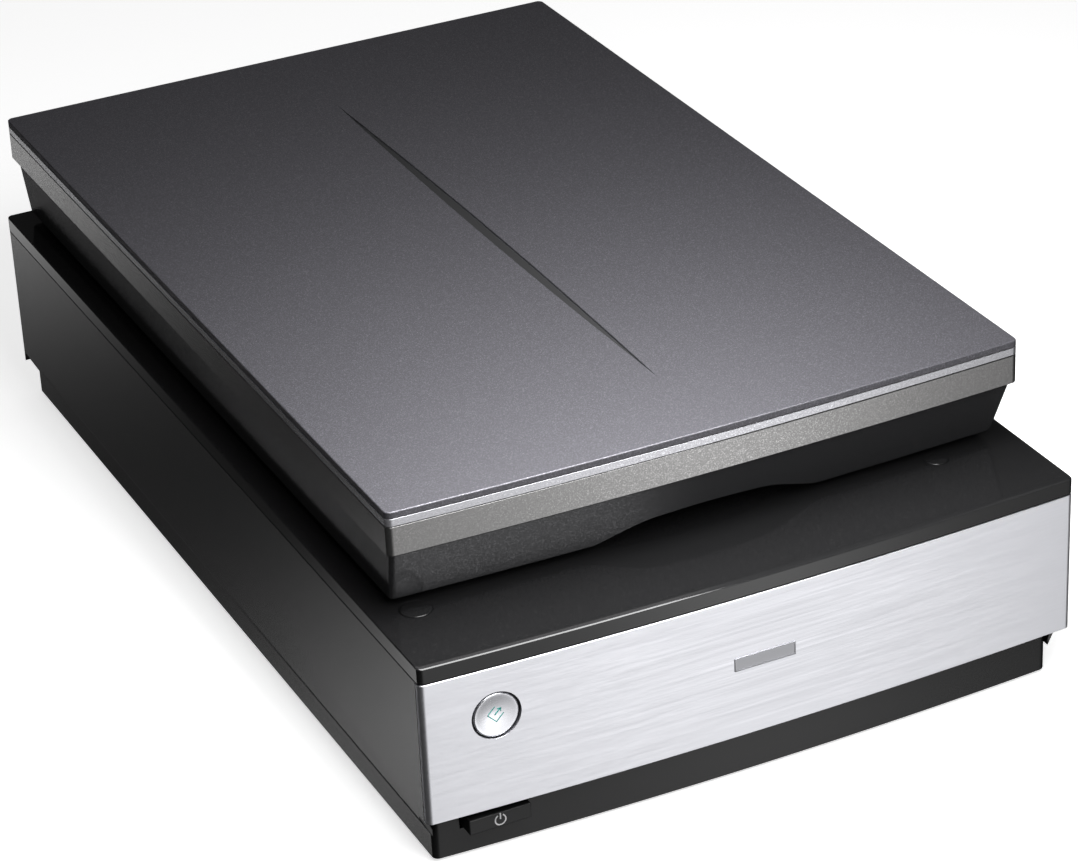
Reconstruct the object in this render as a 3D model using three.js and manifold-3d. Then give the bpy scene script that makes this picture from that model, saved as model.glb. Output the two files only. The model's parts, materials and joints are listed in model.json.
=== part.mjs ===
// Flatbed photo scanner with a film lamp in its thick lid.
// Millimetres, +Z up, front towards -Y. The origin is on the floor, under the middle of the case.

import * as THREE from 'three';
import { mergeVertices } from 'three/addons/utils/BufferGeometryUtils.js';
import Module from 'manifold-3d';

const wasm = await Module();
wasm.setup();

// ---- Driving dimensions -------------------------------------------------------------------

const GAP = 0.3;
const WALL = 2.5;
const FAR = 320; // further out than any piece, for cutting blocks

// Case: outline of the gloss frame, fascia and side panels
const CASE_HALF = 154;
const CASE_FRONT = -247.2;
const CASE_REAR = 251.5;
const CASE_BOW = 4.3;
const CORNER_R = 2.5;
const CASE_TOP = 100.6;
const BAND_TOP = 99.9;
const FRONT_BEVEL = 5;
const FRAME_BOTTOM = 93.3;
const PANEL_TOP = FRAME_BOTTOM - GAP;
const PANEL_THICK = 2.4;
const FASCIA_BOTTOM = 26.2;
const FASCIA_THICK = 2;
const FASCIA_RETURN = -243.6;
const REAR_PANEL_FRONT = CASE_REAR - PANEL_THICK;

// Plinth tray under the case
const PLINTH_HALF = 148.3;
const PLINTH_FRONT = -237.6;
const PLINTH_REAR = 248.8;
const PLINTH_BOTTOM = 1.6;
const PLINTH_TOP = FASCIA_BOTTOM - GAP;
const FLOOR_TOP = PLINTH_BOTTOM + 2.4;
const FOOT_R = 9;
const FOOT_X = 125;
const FOOT_Y = [-205, 215];

// Platen
const PLATEN_HALF = 110;
const PLATEN_Y = [-118, 186];
const PLATEN_LEDGE = 7;
const GLASS_Z = [96.2, 99.2];

// Start button in the fascia, power button under it
const START = { x: -121.6, z: 70.2, hole: 10.9, cap: 10.1, face: -248.5, flange: -242, stem: 3, end: -233 };
const SLEEVE = { r: 13, y: [-244.6, -238] };
const POWER = { x0: -135.4, x1: -107.4, z0: 14.8, z1: 21.8, face: -246.3 };
const BOARD = { x: [-138, -109], y: -224, z: [12, 82], thick: 1.6 };
const SWITCH = { half: 3, startDepth: 7, powerDepth: 3 };

// Covers over the two front fixing screws of the frame
const CAPS = { left: { x: -134.9, y: -203.7, r: 6.8 }, right: { x: 112.5, y: -203, r: 5.3 } };
const CAP_SEAT = 99.3;
const CAP_CROWN = 101.3;

// Sockets and vents at the back
const PORTS = {
  power_inlet: { x: -62, width: 12, height: 11 },
  usb_port: { x: -40, width: 13, height: 12 },
  lid_cable_port: { x: -14, width: 19, height: 11 },
};
const PORT = { z: 27, front: 236, floor: 240, wall: 1.5, sunk: 0.6 };
const VENTS = { count: 10, x: 34, pitch: 5, width: 2.2, z: [52, 76] };

// Lid outline and levels
const LID_HALF = 148.3;
const LID_FRONT = -211.1;
const LID_REAR = 251.2;
const LID_BOW = 3.4;
const LID_R = 3;
const LID_TOP = 152.5;
const TRIM_Z = [145.8, 149.3];
const BAND_Z = [132.3, 145.5];
const COVER_Z = [104.3, 130.3, 132.0];
const LID_FLOOR = COVER_Z[0] + WALL;
const GROOVE = { y: 8.3, halfLength: 167.5, halfWidth: 2.65, depth: 1.2 };
const GRIP = { half: 66, shoulder: 22, low: 103, rise: 9.8, crown: 0.7, back: -183 };
const MAT = { half: 120, y: [-128, 200], z: [100.9, 103.9] };
const WINDOW = { half: 103, y: [-95, 160], ledge: 4 };

// Lid hinge and its lifting posts
const HINGE = { y: 236, z: 118, knuckle: 6.4, pin: 3.1, bore: 3.4, x: 105, half: 12 };
const BRACKET = { reach: 15, ear: 2, eye: 4.8, front: 22, base: 8.5, clear: 1.2 };
const POST_BOTTOM = 47;
const SOCKET = { bottom: 44, wall: 2.7 };

// Scan carriage and its drive
const CARRIAGE = { half: 118, y: [150, 218], z: [42, 84], lid: 2 };
const SLIT = { y: 184, half: 2, end: 7 };
const BUSH = { r: 7.5, long: 12, front: 152, rear: 204, bore: 0.15 };
const ROD = { x: -95, z: 34, r: 4, y: [-226, 244] };
const CRADLE = { half: 12, above: 7, y: [[-229, -216], [234, 245]] };
const RAIL = { x: 100, top: 38, y: [-215, 222], half: 6, web: 1.5, flange: 3 };
const GRASP = { y: [176, 192], jaw: 1.2, glide: 5 }; // belt clamp and glide under the carriage
const MIRROR_STRIP = { long: 204, thick: 2.5, wide: 14, z: 70, lean: 45 };
const LENS = { y: [172, 184, 190], z: 53, collar: 1 };
const LENSES = { lens_high_resolution: { r: 7, x: -16 }, lens_standard: { r: 5.5, x: 16 } };
const GEAR = { module: 1.2, teeth: 40, pinion: 8, x: 21.2, y: -190, z: [23, 29] };
const PULLEY = { r: 8, flange: 9.4, belt: [32.5, 37.9], z: [31, 39.4] };
const IDLER_Y = 222;
const BELT_THICK = 1;
const MOTOR = { r: 17.5, top: 20.6, shaft: 1.5, ear: [4, 24] };
const AXLE = { r: 2, bore: 2.3, seat: 6 };
const SPRING = { r: 2.6, wire: 0.45, turns: 6, z: 13, start: 10.6, long: 12 };
const MAIN_BOARD = { x: [-78, 4], y: [-60, 120], z: [9, 10.6] };

// Film lamp drive inside the lid
const LAMP = { half: 116, y: [176, 204], z: [115, 131], rodX: -125, rodZ: 120, rodR: 3 };
const LID_PULLEY = { r: 5.5, flange: 6.6, x: 126, y: [-175, 204.5], z: [122, 131], belt: [123.8, 129.2] };
const LID_LEDGE = { x: [117.5, 123.5], y: [-150, 200], top: 114 };
const LAMP_POST = { half: 5, long: 8, y: [-150, 212], above: 6 };

// Turn-to-lock discs for transport
const LOCK_R = 8;
const CASE_LOCK = { x: -132, y: 60 };
const LID_LOCK = { x: 132, y: -120 };

// ---- Finishes ------------------------------------------------------------------------------

const finish = (color, roughness, metalness) =>
  new THREE.MeshStandardMaterial({ color, roughness, metalness });

const GLOSS_BLACK = finish(0x141414, 0.15, 0);
const SATIN_CHARCOAL = finish(0x2c2c2c, 0.45, 0);
const MATT_BLACK = finish(0x1c1c1c, 0.7, 0);
const BRUSHED_ALUMINIUM = finish(0xd6d6de, 0.3, 1);
const GRAPHITE_PAINT = finish(0x4a4a50, 0.4, 0.5);
const SILVER_PAINT = finish(0xb9b9c0, 0.35, 0.6);
const GREY_PAINT = finish(0x77777a, 0.4, 0.5);
const CLEAR_GLASS = finish(0xcfe0de, 0.05, 0);
const WHITE_PLASTIC = finish(0xf2f2f0, 0.5, 0);
const RUBBER = finish(0x1a1a1a, 0.9, 0);
const STEEL = finish(0xb0b4b8, 0.3, 1);
const GALVANISED = finish(0x9a9fa3, 0.4, 1);
const ACETAL = finish(0xe6e2d6, 0.5, 0);
const BRONZE = finish(0xa8824a, 0.45, 1);
const MIRROR = finish(0xe8eef2, 0.02, 1);
const CIRCUIT = finish(0x1f5a3a, 0.5, 0);
const LAMP_WHITE = finish(0xf8f8ff, 0.3, 0);

// ---- Geometry helpers ------------------------------------------------------------------------

const part = new THREE.Group();

function volumeSign(position, index) {
  const [a, b, c] = [new THREE.Vector3(), new THREE.Vector3(), new THREE.Vector3()];
  let total = 0;
  for (let i = 0; i < index.length; i += 3) {
    a.fromBufferAttribute(position, index[i]);
    b.fromBufferAttribute(position, index[i + 1]);
    c.fromBufferAttribute(position, index[i + 2]);
    total += a.dot(b.cross(c));
  }
  return Math.sign(total);
}

// A closed geometry as a manifold-3d solid whose faces point outwards
function solid(geometry) {
  const bare = geometry.clone();
  bare.deleteAttribute('normal');
  bare.deleteAttribute('uv');
  const merged = mergeVertices(bare, 1e-4);
  const { position } = merged.attributes;
  const triangles = [];
  for (let i = 0; i < merged.index.count; i += 3) {
    const [a, b, c] = [0, 1, 2].map((k) => merged.index.getX(i + k));
    if (a !== b && b !== c && c !== a) triangles.push(a, b, c);
  }
  if (volumeSign(position, triangles) < 0) triangles.reverse();
  return new wasm.Manifold(new wasm.Mesh({
    numProp: 3,
    vertProperties: new Float32Array(position.array),
    triVerts: new Uint32Array(triangles),
  }));
}

function addPart(name, shape, material) {
  const { vertProperties, triVerts } = shape.getMesh();
  const geometry = new THREE.BufferGeometry();
  geometry.setAttribute('position', new THREE.BufferAttribute(new Float32Array(vertProperties), 3));
  geometry.setIndex(new THREE.BufferAttribute(new Uint32Array(triVerts), 1));
  const mesh = new THREE.Mesh(geometry, material);
  mesh.name = name;
  part.add(mesh);
  return mesh;
}

const join = (first, ...others) => others.reduce((sum, other) => sum.add(other), first);
const cut = (first, ...others) => others.reduce((rest, other) => rest.subtract(other), first);

function box(x0, x1, y0, y1, z0, z1) {
  const geometry = new THREE.BoxGeometry(x1 - x0, y1 - y0, z1 - z0);
  return solid(geometry.translate((x0 + x1) / 2, (y0 + y1) / 2, (z0 + z1) / 2));
}

function rodAlongX(r, x0, x1, y, z, sides = 20) {
  const geometry = new THREE.CylinderGeometry(r, r, x1 - x0, sides);
  return solid(geometry.rotateZ(Math.PI / 2).translate((x0 + x1) / 2, y, z));
}

function rodAlongY(r, y0, y1, x, z, sides = 20) {
  const geometry = new THREE.CylinderGeometry(r, r, y1 - y0, sides);
  return solid(geometry.translate(x, (y0 + y1) / 2, z));
}

function disc(r, z0, z1, x, y, sides = 24) {
  const geometry = new THREE.CylinderGeometry(r, r, z1 - z0, sides);
  return solid(geometry.rotateX(Math.PI / 2).translate(x, y, (z0 + z1) / 2));
}

// A profile of [radius, height] pairs turned about the vertical line through (x, y)
function turned(profile, x, y, sides = 24) {
  const points = profile.map(([r, z]) => new THREE.Vector2(r, z));
  return solid(new THREE.LatheGeometry(points, sides).rotateX(Math.PI / 2).translate(x, y, 0));
}

function shapeOf(points) {
  return new THREE.Shape(points.map(([x, y]) => new THREE.Vector2(x, y)));
}

function extruded(points, depth) {
  return new THREE.ExtrudeGeometry(shapeOf(points), { depth, bevelEnabled: false });
}

// Profile points are [x, z]
function alongY(points, y0, y1) {
  return solid(extruded(points, y1 - y0).rotateX(Math.PI / 2).translate(0, y1, 0));
}

// Profile points are [y, z]
function alongX(points, x0, x1) {
  const turn = new THREE.Matrix4().makeBasis(
    new THREE.Vector3(0, 1, 0), new THREE.Vector3(0, 0, 1), new THREE.Vector3(1, 0, 0));
  return solid(extruded(points, x1 - x0).applyMatrix4(turn).translate(x0, 0, 0));
}

// Plan outline with a front edge that bows forward and rounded corners, counter-clockwise
function outline(half, front, rear, bow, radius, steps = 12) {
  const points = [];
  const reach = half - radius;
  for (let i = 0; i <= steps; i += 1) {
    const x = reach * ((2 * i) / steps - 1);
    points.push([x, front - bow * (1 - (x / reach) ** 2)]);
  }
  const corner = (x, y, start, skip) => {
    for (let i = skip; i <= 3; i += 1) {
      const angle = start + (i * Math.PI) / 6;
      points.push([x + radius * Math.cos(angle), y + radius * Math.sin(angle)]);
    }
  };
  corner(reach, front + radius, -Math.PI / 2, 1);
  corner(reach, rear - radius, 0, 0);
  corner(-reach, rear - radius, Math.PI / 2, 0);
  corner(-reach, front + radius, Math.PI, 0);
  points.pop();
  return points;
}

// A solid skinned over plan outlines of equal point count, each at its own height
function loft(...levels) {
  const count = levels[0][0].length;
  const positions = levels.flatMap(([points, z]) => points.flatMap(([x, y]) => [x, y, z]));
  const index = [];
  for (let k = 0; k + 1 < levels.length; k += 1) {
    for (let i = 0; i < count; i += 1) {
      const next = (i + 1) % count;
      const [a, b] = [k * count + i, k * count + next];
      index.push(a, b, b + count, a, b + count, a + count);
    }
  }
  const cap = (points, base, up) => {
    const flat = points.map(([x, y]) => new THREE.Vector2(x, y));
    for (const [a, b, c] of THREE.ShapeUtils.triangulateShape(flat, [])) {
      const rising = THREE.ShapeUtils.area([flat[a], flat[b], flat[c]]) > 0;
      index.push(...(rising === up ? [a, b, c] : [a, c, b]).map((i) => i + base));
    }
  };
  cap(levels[0][0], 0, false);
  cap(levels.at(-1)[0], count * (levels.length - 1), true);
  const geometry = new THREE.BufferGeometry();
  geometry.setAttribute('position', new THREE.Float32BufferAttribute(positions, 3));
  geometry.setIndex(index);
  return solid(geometry);
}

const slab = (points, z0, z1) => loft([points, z0], [points, z1]);

const caseOutline = (inset) => outline(
  CASE_HALF - inset, CASE_FRONT + inset, CASE_REAR - inset, CASE_BOW, Math.max(CORNER_R - inset, 0.6));
const plinthOutline = (inset) =>
  outline(PLINTH_HALF - inset, PLINTH_FRONT + inset, PLINTH_REAR - inset, CASE_BOW, 3 - inset / 3);
const lidOutline = (inset) => outline(
  LID_HALF - inset, LID_FRONT + inset, LID_REAR - inset, LID_BOW, Math.max(LID_R - inset, 0.8));

// Spur gear outline; its first tooth points along +X, or half a pitch away when offset
function gearOutline(teeth, module, offset) {
  const [root, tip] = [module * (teeth / 2 - 1.25), module * (teeth / 2 + 0.95)];
  const [foot, land] = [0.27, 0.12];
  const corners = [[root, -foot], [tip, -land], [tip, land], [root, foot]];
  const points = [];
  for (let tooth = 0; tooth < teeth; tooth += 1) {
    for (const [r, share] of corners) {
      const angle = ((tooth + share + offset) * 2 * Math.PI) / teeth;
      points.push([r * Math.cos(angle), r * Math.sin(angle)]);
    }
  }
  return points;
}

const moved = (points, x, y) => points.map(([px, py]) => [px + x, py + y]);

function pulleyProfile({ r, flange, z }, bore) {
  return [[bore, z[0]], [flange, z[0]], [flange, z[0] + 0.9], [r, z[0] + 1.2],
    [r, z[1] - 1.2], [flange, z[1] - 0.9], [flange, z[1]], [bore, z[1]], [bore, z[0]]];
}

// Closed belt round two pulleys of equal size on a line along Y
function beltLoop(radius, x, y0, y1, z0, z1) {
  const track = (r) => {
    const halfTurn = (side, y) => Array.from({ length: 9 }, (_, i) => {
      const angle = (i * Math.PI) / 8;
      return [x + side * r * Math.cos(angle), y + side * r * Math.sin(angle)];
    });
    return [...halfTurn(1, y1), ...halfTurn(-1, y0)];
  };
  return cut(slab(track(radius + BELT_THICK), z0, z1), slab(track(radius), z0 - 1, z1 + 1));
}

// ---- Case --------------------------------------------------------------------------------------

// Moulded tray: plinth walls, rod cradles and the axle posts of the drive
function addLowerCase() {
  const tray = cut(
    slab(plinthOutline(0), PLINTH_BOTTOM, PLINTH_TOP),
    slab(plinthOutline(WALL), FLOOR_TOP, PLINTH_TOP + 1),
    box(POWER.x0 - 1, POWER.x1 + 1, -FAR, PLINTH_FRONT + 12, POWER.z0 - 0.8, PLINTH_TOP + 1));
  const pockets = FOOT_Y.flatMap((y) =>
    [-FOOT_X, FOOT_X].map((x) => disc(FOOT_R + GAP, 0, PLINTH_BOTTOM + 1.2, x, y)));
  const cradles = CRADLE.y.map(([y0, y1]) => cut(
    box(ROD.x - CRADLE.half, ROD.x + CRADLE.half, y0, y1, FLOOR_TOP - 1, ROD.z + CRADLE.above),
    rodAlongY(ROD.r + GAP, ROD.y[0] - 1, ROD.y[1] + 1, ROD.x, ROD.z)));
  const axle = join(
    disc(AXLE.r, FLOOR_TOP - 1, PULLEY.z[1] + 1, GEAR.x, GEAR.y, 16),
    disc(AXLE.seat, FLOOR_TOP - 1, GEAR.z[0] - 0.5, GEAR.x, GEAR.y, 16));
  const body = join(tray, ...cradles, axle);
  addPart('lower_case', cut(body, ...pockets), MATT_BLACK);
}

// Gloss frame round the platen, with the two sockets that the hinge posts slide in
function addTopFrame() {
  const side = 0.6;
  const rim = outline(CASE_HALF - side, CASE_FRONT + FRONT_BEVEL, CASE_REAR - side, CASE_BOW, CORNER_R);
  const plate = loft([caseOutline(0), FRAME_BOTTOM], [caseOutline(0), BAND_TOP], [rim, CASE_TOP]);
  const edge = PLATEN_LEDGE + PLATEN_HALF;
  const [front, rear] = [PLATEN_Y[0] - PLATEN_LEDGE, PLATEN_Y[1] + PLATEN_LEDGE];
  const opening = box(-PLATEN_HALF, PLATEN_HALF, ...PLATEN_Y, 0, FAR);
  const rebate = box(-edge, edge, front, rear, 0, GLASS_Z[1] + GAP);
  const postBlock = (x, margin, z0, z1) => box(
    x - HINGE.half - margin, x + HINGE.half + margin,
    HINGE.y - HINGE.knuckle - margin, HINGE.y + HINGE.knuckle + margin, z0, z1);
  const sides = [-HINGE.x, HINGE.x];
  const tubes = sides.map((x) => postBlock(x, SOCKET.wall, SOCKET.bottom, FRAME_BOTTOM + 1));
  const holes = sides.map((x) => postBlock(x, GAP, 0, FAR));
  const seats = Object.values(CAPS).map(({ x, y, r }) => disc(r + GAP, CAP_SEAT, FAR, x, y));
  const lockHole = disc(LOCK_R + GAP, 0, FAR, CASE_LOCK.x, CASE_LOCK.y);
  addPart('top_frame', cut(
    join(plate, ...tubes), opening, rebate, ...holes, lockHole, ...seats), GLOSS_BLACK);
}

function addScrewCaps() {
  const base = CAP_SEAT + GAP;
  for (const [side, { x, y, r }] of Object.entries(CAPS)) {
    const dome = [[0, base], [r, base], [r, CAP_CROWN - 0.5], [r - 0.6, CAP_CROWN - 0.2], [0, CAP_CROWN]];
    addPart(`screw_cap_${side}`, turned(dome, x, y, 28), GLOSS_BLACK);
  }
}

// Side panel with a bevel that turns in to the plinth
function addSidePanel(name, side) {
  const outer = CASE_HALF;
  const inner = outer - PANEL_THICK;
  const foot = PLINTH_HALF + GAP;
  const [bend, hem] = [25, 14.2];
  const section = [[outer, PANEL_TOP], [outer, bend], [foot, hem], [foot, hem + 3.4],
    [inner, bend + 1], [inner, PANEL_TOP]].map(([x, z]) => [side * x, z]);
  const panel = alongY(section, FASCIA_RETURN + GAP, REAR_PANEL_FRONT - GAP);
  const corner = box(-FAR, FAR, -FAR, PLINTH_FRONT - 0.9, 0, FASCIA_BOTTOM);
  addPart(name, cut(panel, corner), SATIN_CHARCOAL);
}

function addRearPanel() {
  const wall = cut(slab(caseOutline(0), 20, PANEL_TOP), box(-FAR, FAR, -FAR, REAR_PANEL_FRONT, 0, FAR));
  const holes = Object.values(PORTS).map(({ x, width, height }) => box(
    x - width / 2 - GAP, x + width / 2 + GAP, PORT.floor, FAR, PORT.z - GAP, PORT.z + height + GAP));
  const vents = Array.from({ length: VENTS.count }, (_, i) => {
    const x = VENTS.x + VENTS.pitch * i;
    return box(x, x + VENTS.width, PORT.floor, FAR, ...VENTS.z);
  });
  addPart('rear_panel', cut(wall, ...holes, ...vents), SATIN_CHARCOAL);
}

function addPorts() {
  const { z, front, floor, wall, sunk } = PORT;
  for (const [name, { x, width, height }] of Object.entries(PORTS)) {
    const reach = width / 2;
    const block = box(x - reach, x + reach, front, CASE_REAR - sunk, z, z + height);
    const mouth = box(x - reach + wall, x + reach - wall, floor, FAR, z + wall, z + height - wall);
    addPart(name, cut(block, mouth), MATT_BLACK);
  }
}

// Folded aluminium front: bowed face, short side returns, lips at the top and bottom
function addFascia() {
  const top = PANEL_TOP - GAP;
  const lipHalf = CASE_HALF - 3.5;
  const behind = (y) => box(-FAR, FAR, y, FAR, 0, FAR);
  const face = cut(slab(caseOutline(0), FASCIA_BOTTOM, top), slab(caseOutline(FASCIA_THICK), 0, FAR),
    behind(FASCIA_RETURN));
  const lip = (z0, z1, back) => cut(slab(caseOutline(FASCIA_THICK / 2), z0, z1), behind(back),
    box(-FAR, -lipHalf, -FAR, FAR, 0, FAR), box(lipHalf, FAR, -FAR, FAR, 0, FAR));
  const bottomLip = lip(FASCIA_BOTTOM, FASCIA_BOTTOM + 2, PLINTH_FRONT + 1.6);
  const buttonHole = rodAlongY(START.hole, -FAR, FASCIA_RETURN + 3.6, START.x, START.z, 40);
  addPart('front_fascia', cut(
    join(face, bottomLip, lip(top - 2, top, FASCIA_RETURN)), buttonHole), BRUSHED_ALUMINIUM);
}

// Plastic carrier behind the fascia, with the sleeve that guides the start button
function addFasciaCarrier() {
  const inset = FASCIA_THICK + GAP;
  const reach = CASE_HALF - 6.5;
  const [low, high] = [FASCIA_BOTTOM + 2.6, PANEL_TOP - 2.8];
  const sheet = cut(slab(caseOutline(inset), low, high), slab(caseOutline(inset + 2), 0, FAR),
    box(-FAR, FAR, FASCIA_RETURN + 3.1, FAR, 0, FAR), box(-FAR, -reach, -FAR, FAR, 0, FAR),
    box(reach, FAR, -FAR, FAR, 0, FAR));
  const sleeve = rodAlongY(SLEEVE.r, ...SLEEVE.y, START.x, START.z, 32);
  const bore = rodAlongY(START.cap + GAP, -FAR, START.end + 3, START.x, START.z, 32);
  addPart('fascia_carrier', cut(join(sheet, sleeve), bore), MATT_BLACK);
}

function addGlass() {
  const margin = PLATEN_LEDGE - 0.5;
  addPart('platen_glass', box(-PLATEN_HALF - margin, PLATEN_HALF + margin,
    PLATEN_Y[0] - margin, PLATEN_Y[1] + margin, ...GLASS_Z), CLEAR_GLASS);
  const half = PLATEN_HALF - 5;
  const [front, rear] = [PLATEN_Y[1] + 1, PLATEN_Y[1] + 6];
  addPart('calibration_strip',
    box(-half, half, front, rear, GLASS_Z[0] - 0.8, GLASS_Z[0] - GAP), WHITE_PLASTIC);
}

function addFeet() {
  const top = PLINTH_BOTTOM + 0.9;
  const foot = [[0, 0], [FOOT_R - 0.7, 0], [FOOT_R, 0.7], [FOOT_R, top], [0, top]];
  const names = ['front_left', 'front_right', 'rear_left', 'rear_right'];
  names.forEach((place, i) => {
    const x = i % 2 ? FOOT_X : -FOOT_X;
    addPart(`rubber_foot_${place}`, turned(foot, x, FOOT_Y[Math.floor(i / 2)]), RUBBER);
  });
}

// ---- Buttons ---------------------------------------------------------------------------------

// Dished round cap on a stem, pressed towards +Y
function addStartButton() {
  const { face, cap, x, z, flange, stem, end } = START;
  const profile = [[0, end], [stem, end], [stem, flange], [cap, flange], [cap, face + 0.4],
    [cap - 0.5, face], [cap * 0.55, face + 0.6], [0, face + 0.9]];
  const points = profile.map(([r, y]) => new THREE.Vector2(r, y));
  addPart('start_button', solid(new THREE.LatheGeometry(points, 32).translate(x, 0, z)), BRUSHED_ALUMINIUM);
}

function addPowerButton() {
  const { x0, x1, z0, z1, face } = POWER;
  const back = -232;
  const tongue = box(START.x - 3.4, START.x + 3.6, back - 1, back + 3.4, z0 + 1, z1 - 1);
  addPart('power_button', join(box(x0, x1, face, back, z0, z1), tongue), GLOSS_BLACK);
}

// Small board that carries the two push switches
function addButtonBoard() {
  const { x, y, z, thick } = BOARD;
  const { half, startDepth, powerDepth } = SWITCH;
  const powerZ = (POWER.z0 + POWER.z1) / 2;
  const push = (depth, height) => box(
    START.x - half, START.x + half, y - depth, y + 0.5, height - half, height + half);
  addPart('button_board', join(
    box(...x, y, y + thick, ...z), push(startDepth, START.z), push(powerDepth, powerZ)), CIRCUIT);
}

// ---- Scan carriage ----------------------------------------------------------------------------

function addCarriage() {
  const { half, y: [y0, y1], z: [z0, z1], lid } = CARRIAGE;
  const shell = cut(box(-half, half, y0, y1, z0, z1),
    box(-half + WALL, half - WALL, y0 + WALL, y1 - WALL, z0 + WALL, z1 - lid));
  const saddle = (y) => box(
    ROD.x - CRADLE.half, ROD.x + CRADLE.half, y, y + BUSH.long, ROD.z - 10, z0 + 1);
  const run = GEAR.x + PULLEY.r + GAP + BELT_THICK / 2;
  const jaw = (x) => box(x, x + GRASP.jaw, ...GRASP.y, PULLEY.z[0] + 1, z0 + 1);
  const glide = box(RAIL.x - GRASP.glide, RAIL.x + GRASP.glide, ...GRASP.y, RAIL.top + GAP, z0 + 1);
  const jaws = [jaw(run - 0.8 - GRASP.jaw), jaw(run + 0.8)];
  const body = join(shell, saddle(BUSH.front), saddle(BUSH.rear), ...jaws, glide);
  const slit = box(-half + SLIT.end, half - SLIT.end,
    SLIT.y - SLIT.half, SLIT.y + SLIT.half, z1 - lid - 1, z1 + 1);
  addPart('carriage_housing', cut(
    body, rodAlongY(BUSH.r + GAP, y0 - 1, y1 + 1, ROD.x, ROD.z), slit), MATT_BLACK);
  for (const place of ['front', 'rear']) {
    const y = BUSH[place];
    const bore = rodAlongY(ROD.r + BUSH.bore, y - 1, y + BUSH.long + 1, ROD.x, ROD.z);
    addPart(`carriage_bush_${place}`, cut(
      rodAlongY(BUSH.r, y, y + BUSH.long, ROD.x, ROD.z), bore), BRONZE);
  }
}

// Light bars either side of the slit, leaning in towards it
function addLampBars() {
  const base = CARRIAGE.z[1] + GAP;
  const profile = [[4, base], [12, base], [12, base + 5], [9, base + 6], [4, base + 2]];
  for (const [place, side] of [['front', -1], ['rear', 1]]) {
    const section = profile.map(([y, z]) => [SLIT.y + side * y, z]);
    addPart(`carriage_lamp_${place}`, alongX(section, -PLATEN_HALF, PLATEN_HALF), LAMP_WHITE);
  }
}

// Folding mirror, the two lenses and the sensor board inside the carriage
function addOptics() {
  const { long, thick, wide, z, lean } = MIRROR_STRIP;
  const strip = new THREE.BoxGeometry(long, thick, wide).rotateX(THREE.MathUtils.degToRad(lean));
  addPart('carriage_mirror', solid(strip.translate(0, SLIT.y, z)), MIRROR);
  const [front, collar, rear] = LENS.y;
  for (const [name, { r, x }] of Object.entries(LENSES)) {
    const neck = r - LENS.collar;
    const profile = [[0, front], [r, front], [r, collar], [neck, collar + 0.5], [neck, rear], [0, rear]];
    const points = profile.map(([radius, y]) => new THREE.Vector2(radius, y));
    addPart(name, solid(new THREE.LatheGeometry(points, 24).translate(x, 0, LENS.z)), MATT_BLACK);
  }
  const back = rear + 11;
  const sensor = box(-30, 30, back - 2.5, back + 0.5, LENS.z - 4, LENS.z + 4);
  addPart('sensor_board', join(
    box(-45, 45, back, back + BOARD.thick, LENS.z - 7, LENS.z + 15), sensor), CIRCUIT);
}

function addCarriageTrack() {
  addPart('guide_rod', rodAlongY(ROD.r, ...ROD.y, ROD.x, ROD.z, 24), STEEL);
  const { x, top, y, half, web, flange } = RAIL;
  const base = FLOOR_TOP + GAP;
  const edge = [[half, top], [half, top - flange], [web, top - flange], [web, base + flange],
    [half, base + flange], [half, base]];
  const right = edge.map(([w, z]) => [x + w, z]);
  const left = edge.map(([w, z]) => [x - w, z]).reverse();
  addPart('slide_rail', alongY([...right, ...left], ...y), GALVANISED);
}

// ---- Carriage drive -----------------------------------------------------------------------------

const PINION_X = GEAR.x + (GEAR.module * (GEAR.teeth + GEAR.pinion)) / 2;

function addDrive() {
  const { module, teeth, pinion, x, y, z } = GEAR;
  const { r, top, shaft, ear: [earHalf, earReach] } = MOTOR;
  const base = FLOOR_TOP + GAP;
  const ears = box(PINION_X - earHalf, PINION_X + earHalf, y - earReach, y + earReach, top - 2, top);
  const can = turned([[0, base], [r - 1, base], [r, base + 1.7], [r, top], [0, top]], PINION_X, y);
  addPart('drive_motor', join(can, ears, disc(shaft, top - 1, z[1] + 2, PINION_X, y, 12)), STEEL);
  addPart('motor_pinion', cut(
    slab(moved(gearOutline(pinion, module, 0.5), PINION_X, y), ...z),
    disc(shaft + 0.2, 0, FAR, PINION_X, y, 12)), BRONZE);
  const wheel = join(
    slab(moved(gearOutline(teeth, module, 0), x, y), z[0] + 0.2, z[1] - 0.2),
    disc(AXLE.seat, z[0] + 1, PULLEY.z[0] + 1, x, y),
    turned(pulleyProfile(PULLEY, 0), x, y));
  addPart('reduction_gear', cut(wheel, disc(AXLE.bore, 0, FAR, x, y, 16)), ACETAL);
  addPart('idler_pulley', turned(pulleyProfile(PULLEY, AXLE.bore), x, IDLER_Y), ACETAL);
  addPart('drive_belt', beltLoop(PULLEY.r + GAP, x, y, IDLER_Y, ...PULLEY.belt), RUBBER);
}

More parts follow.
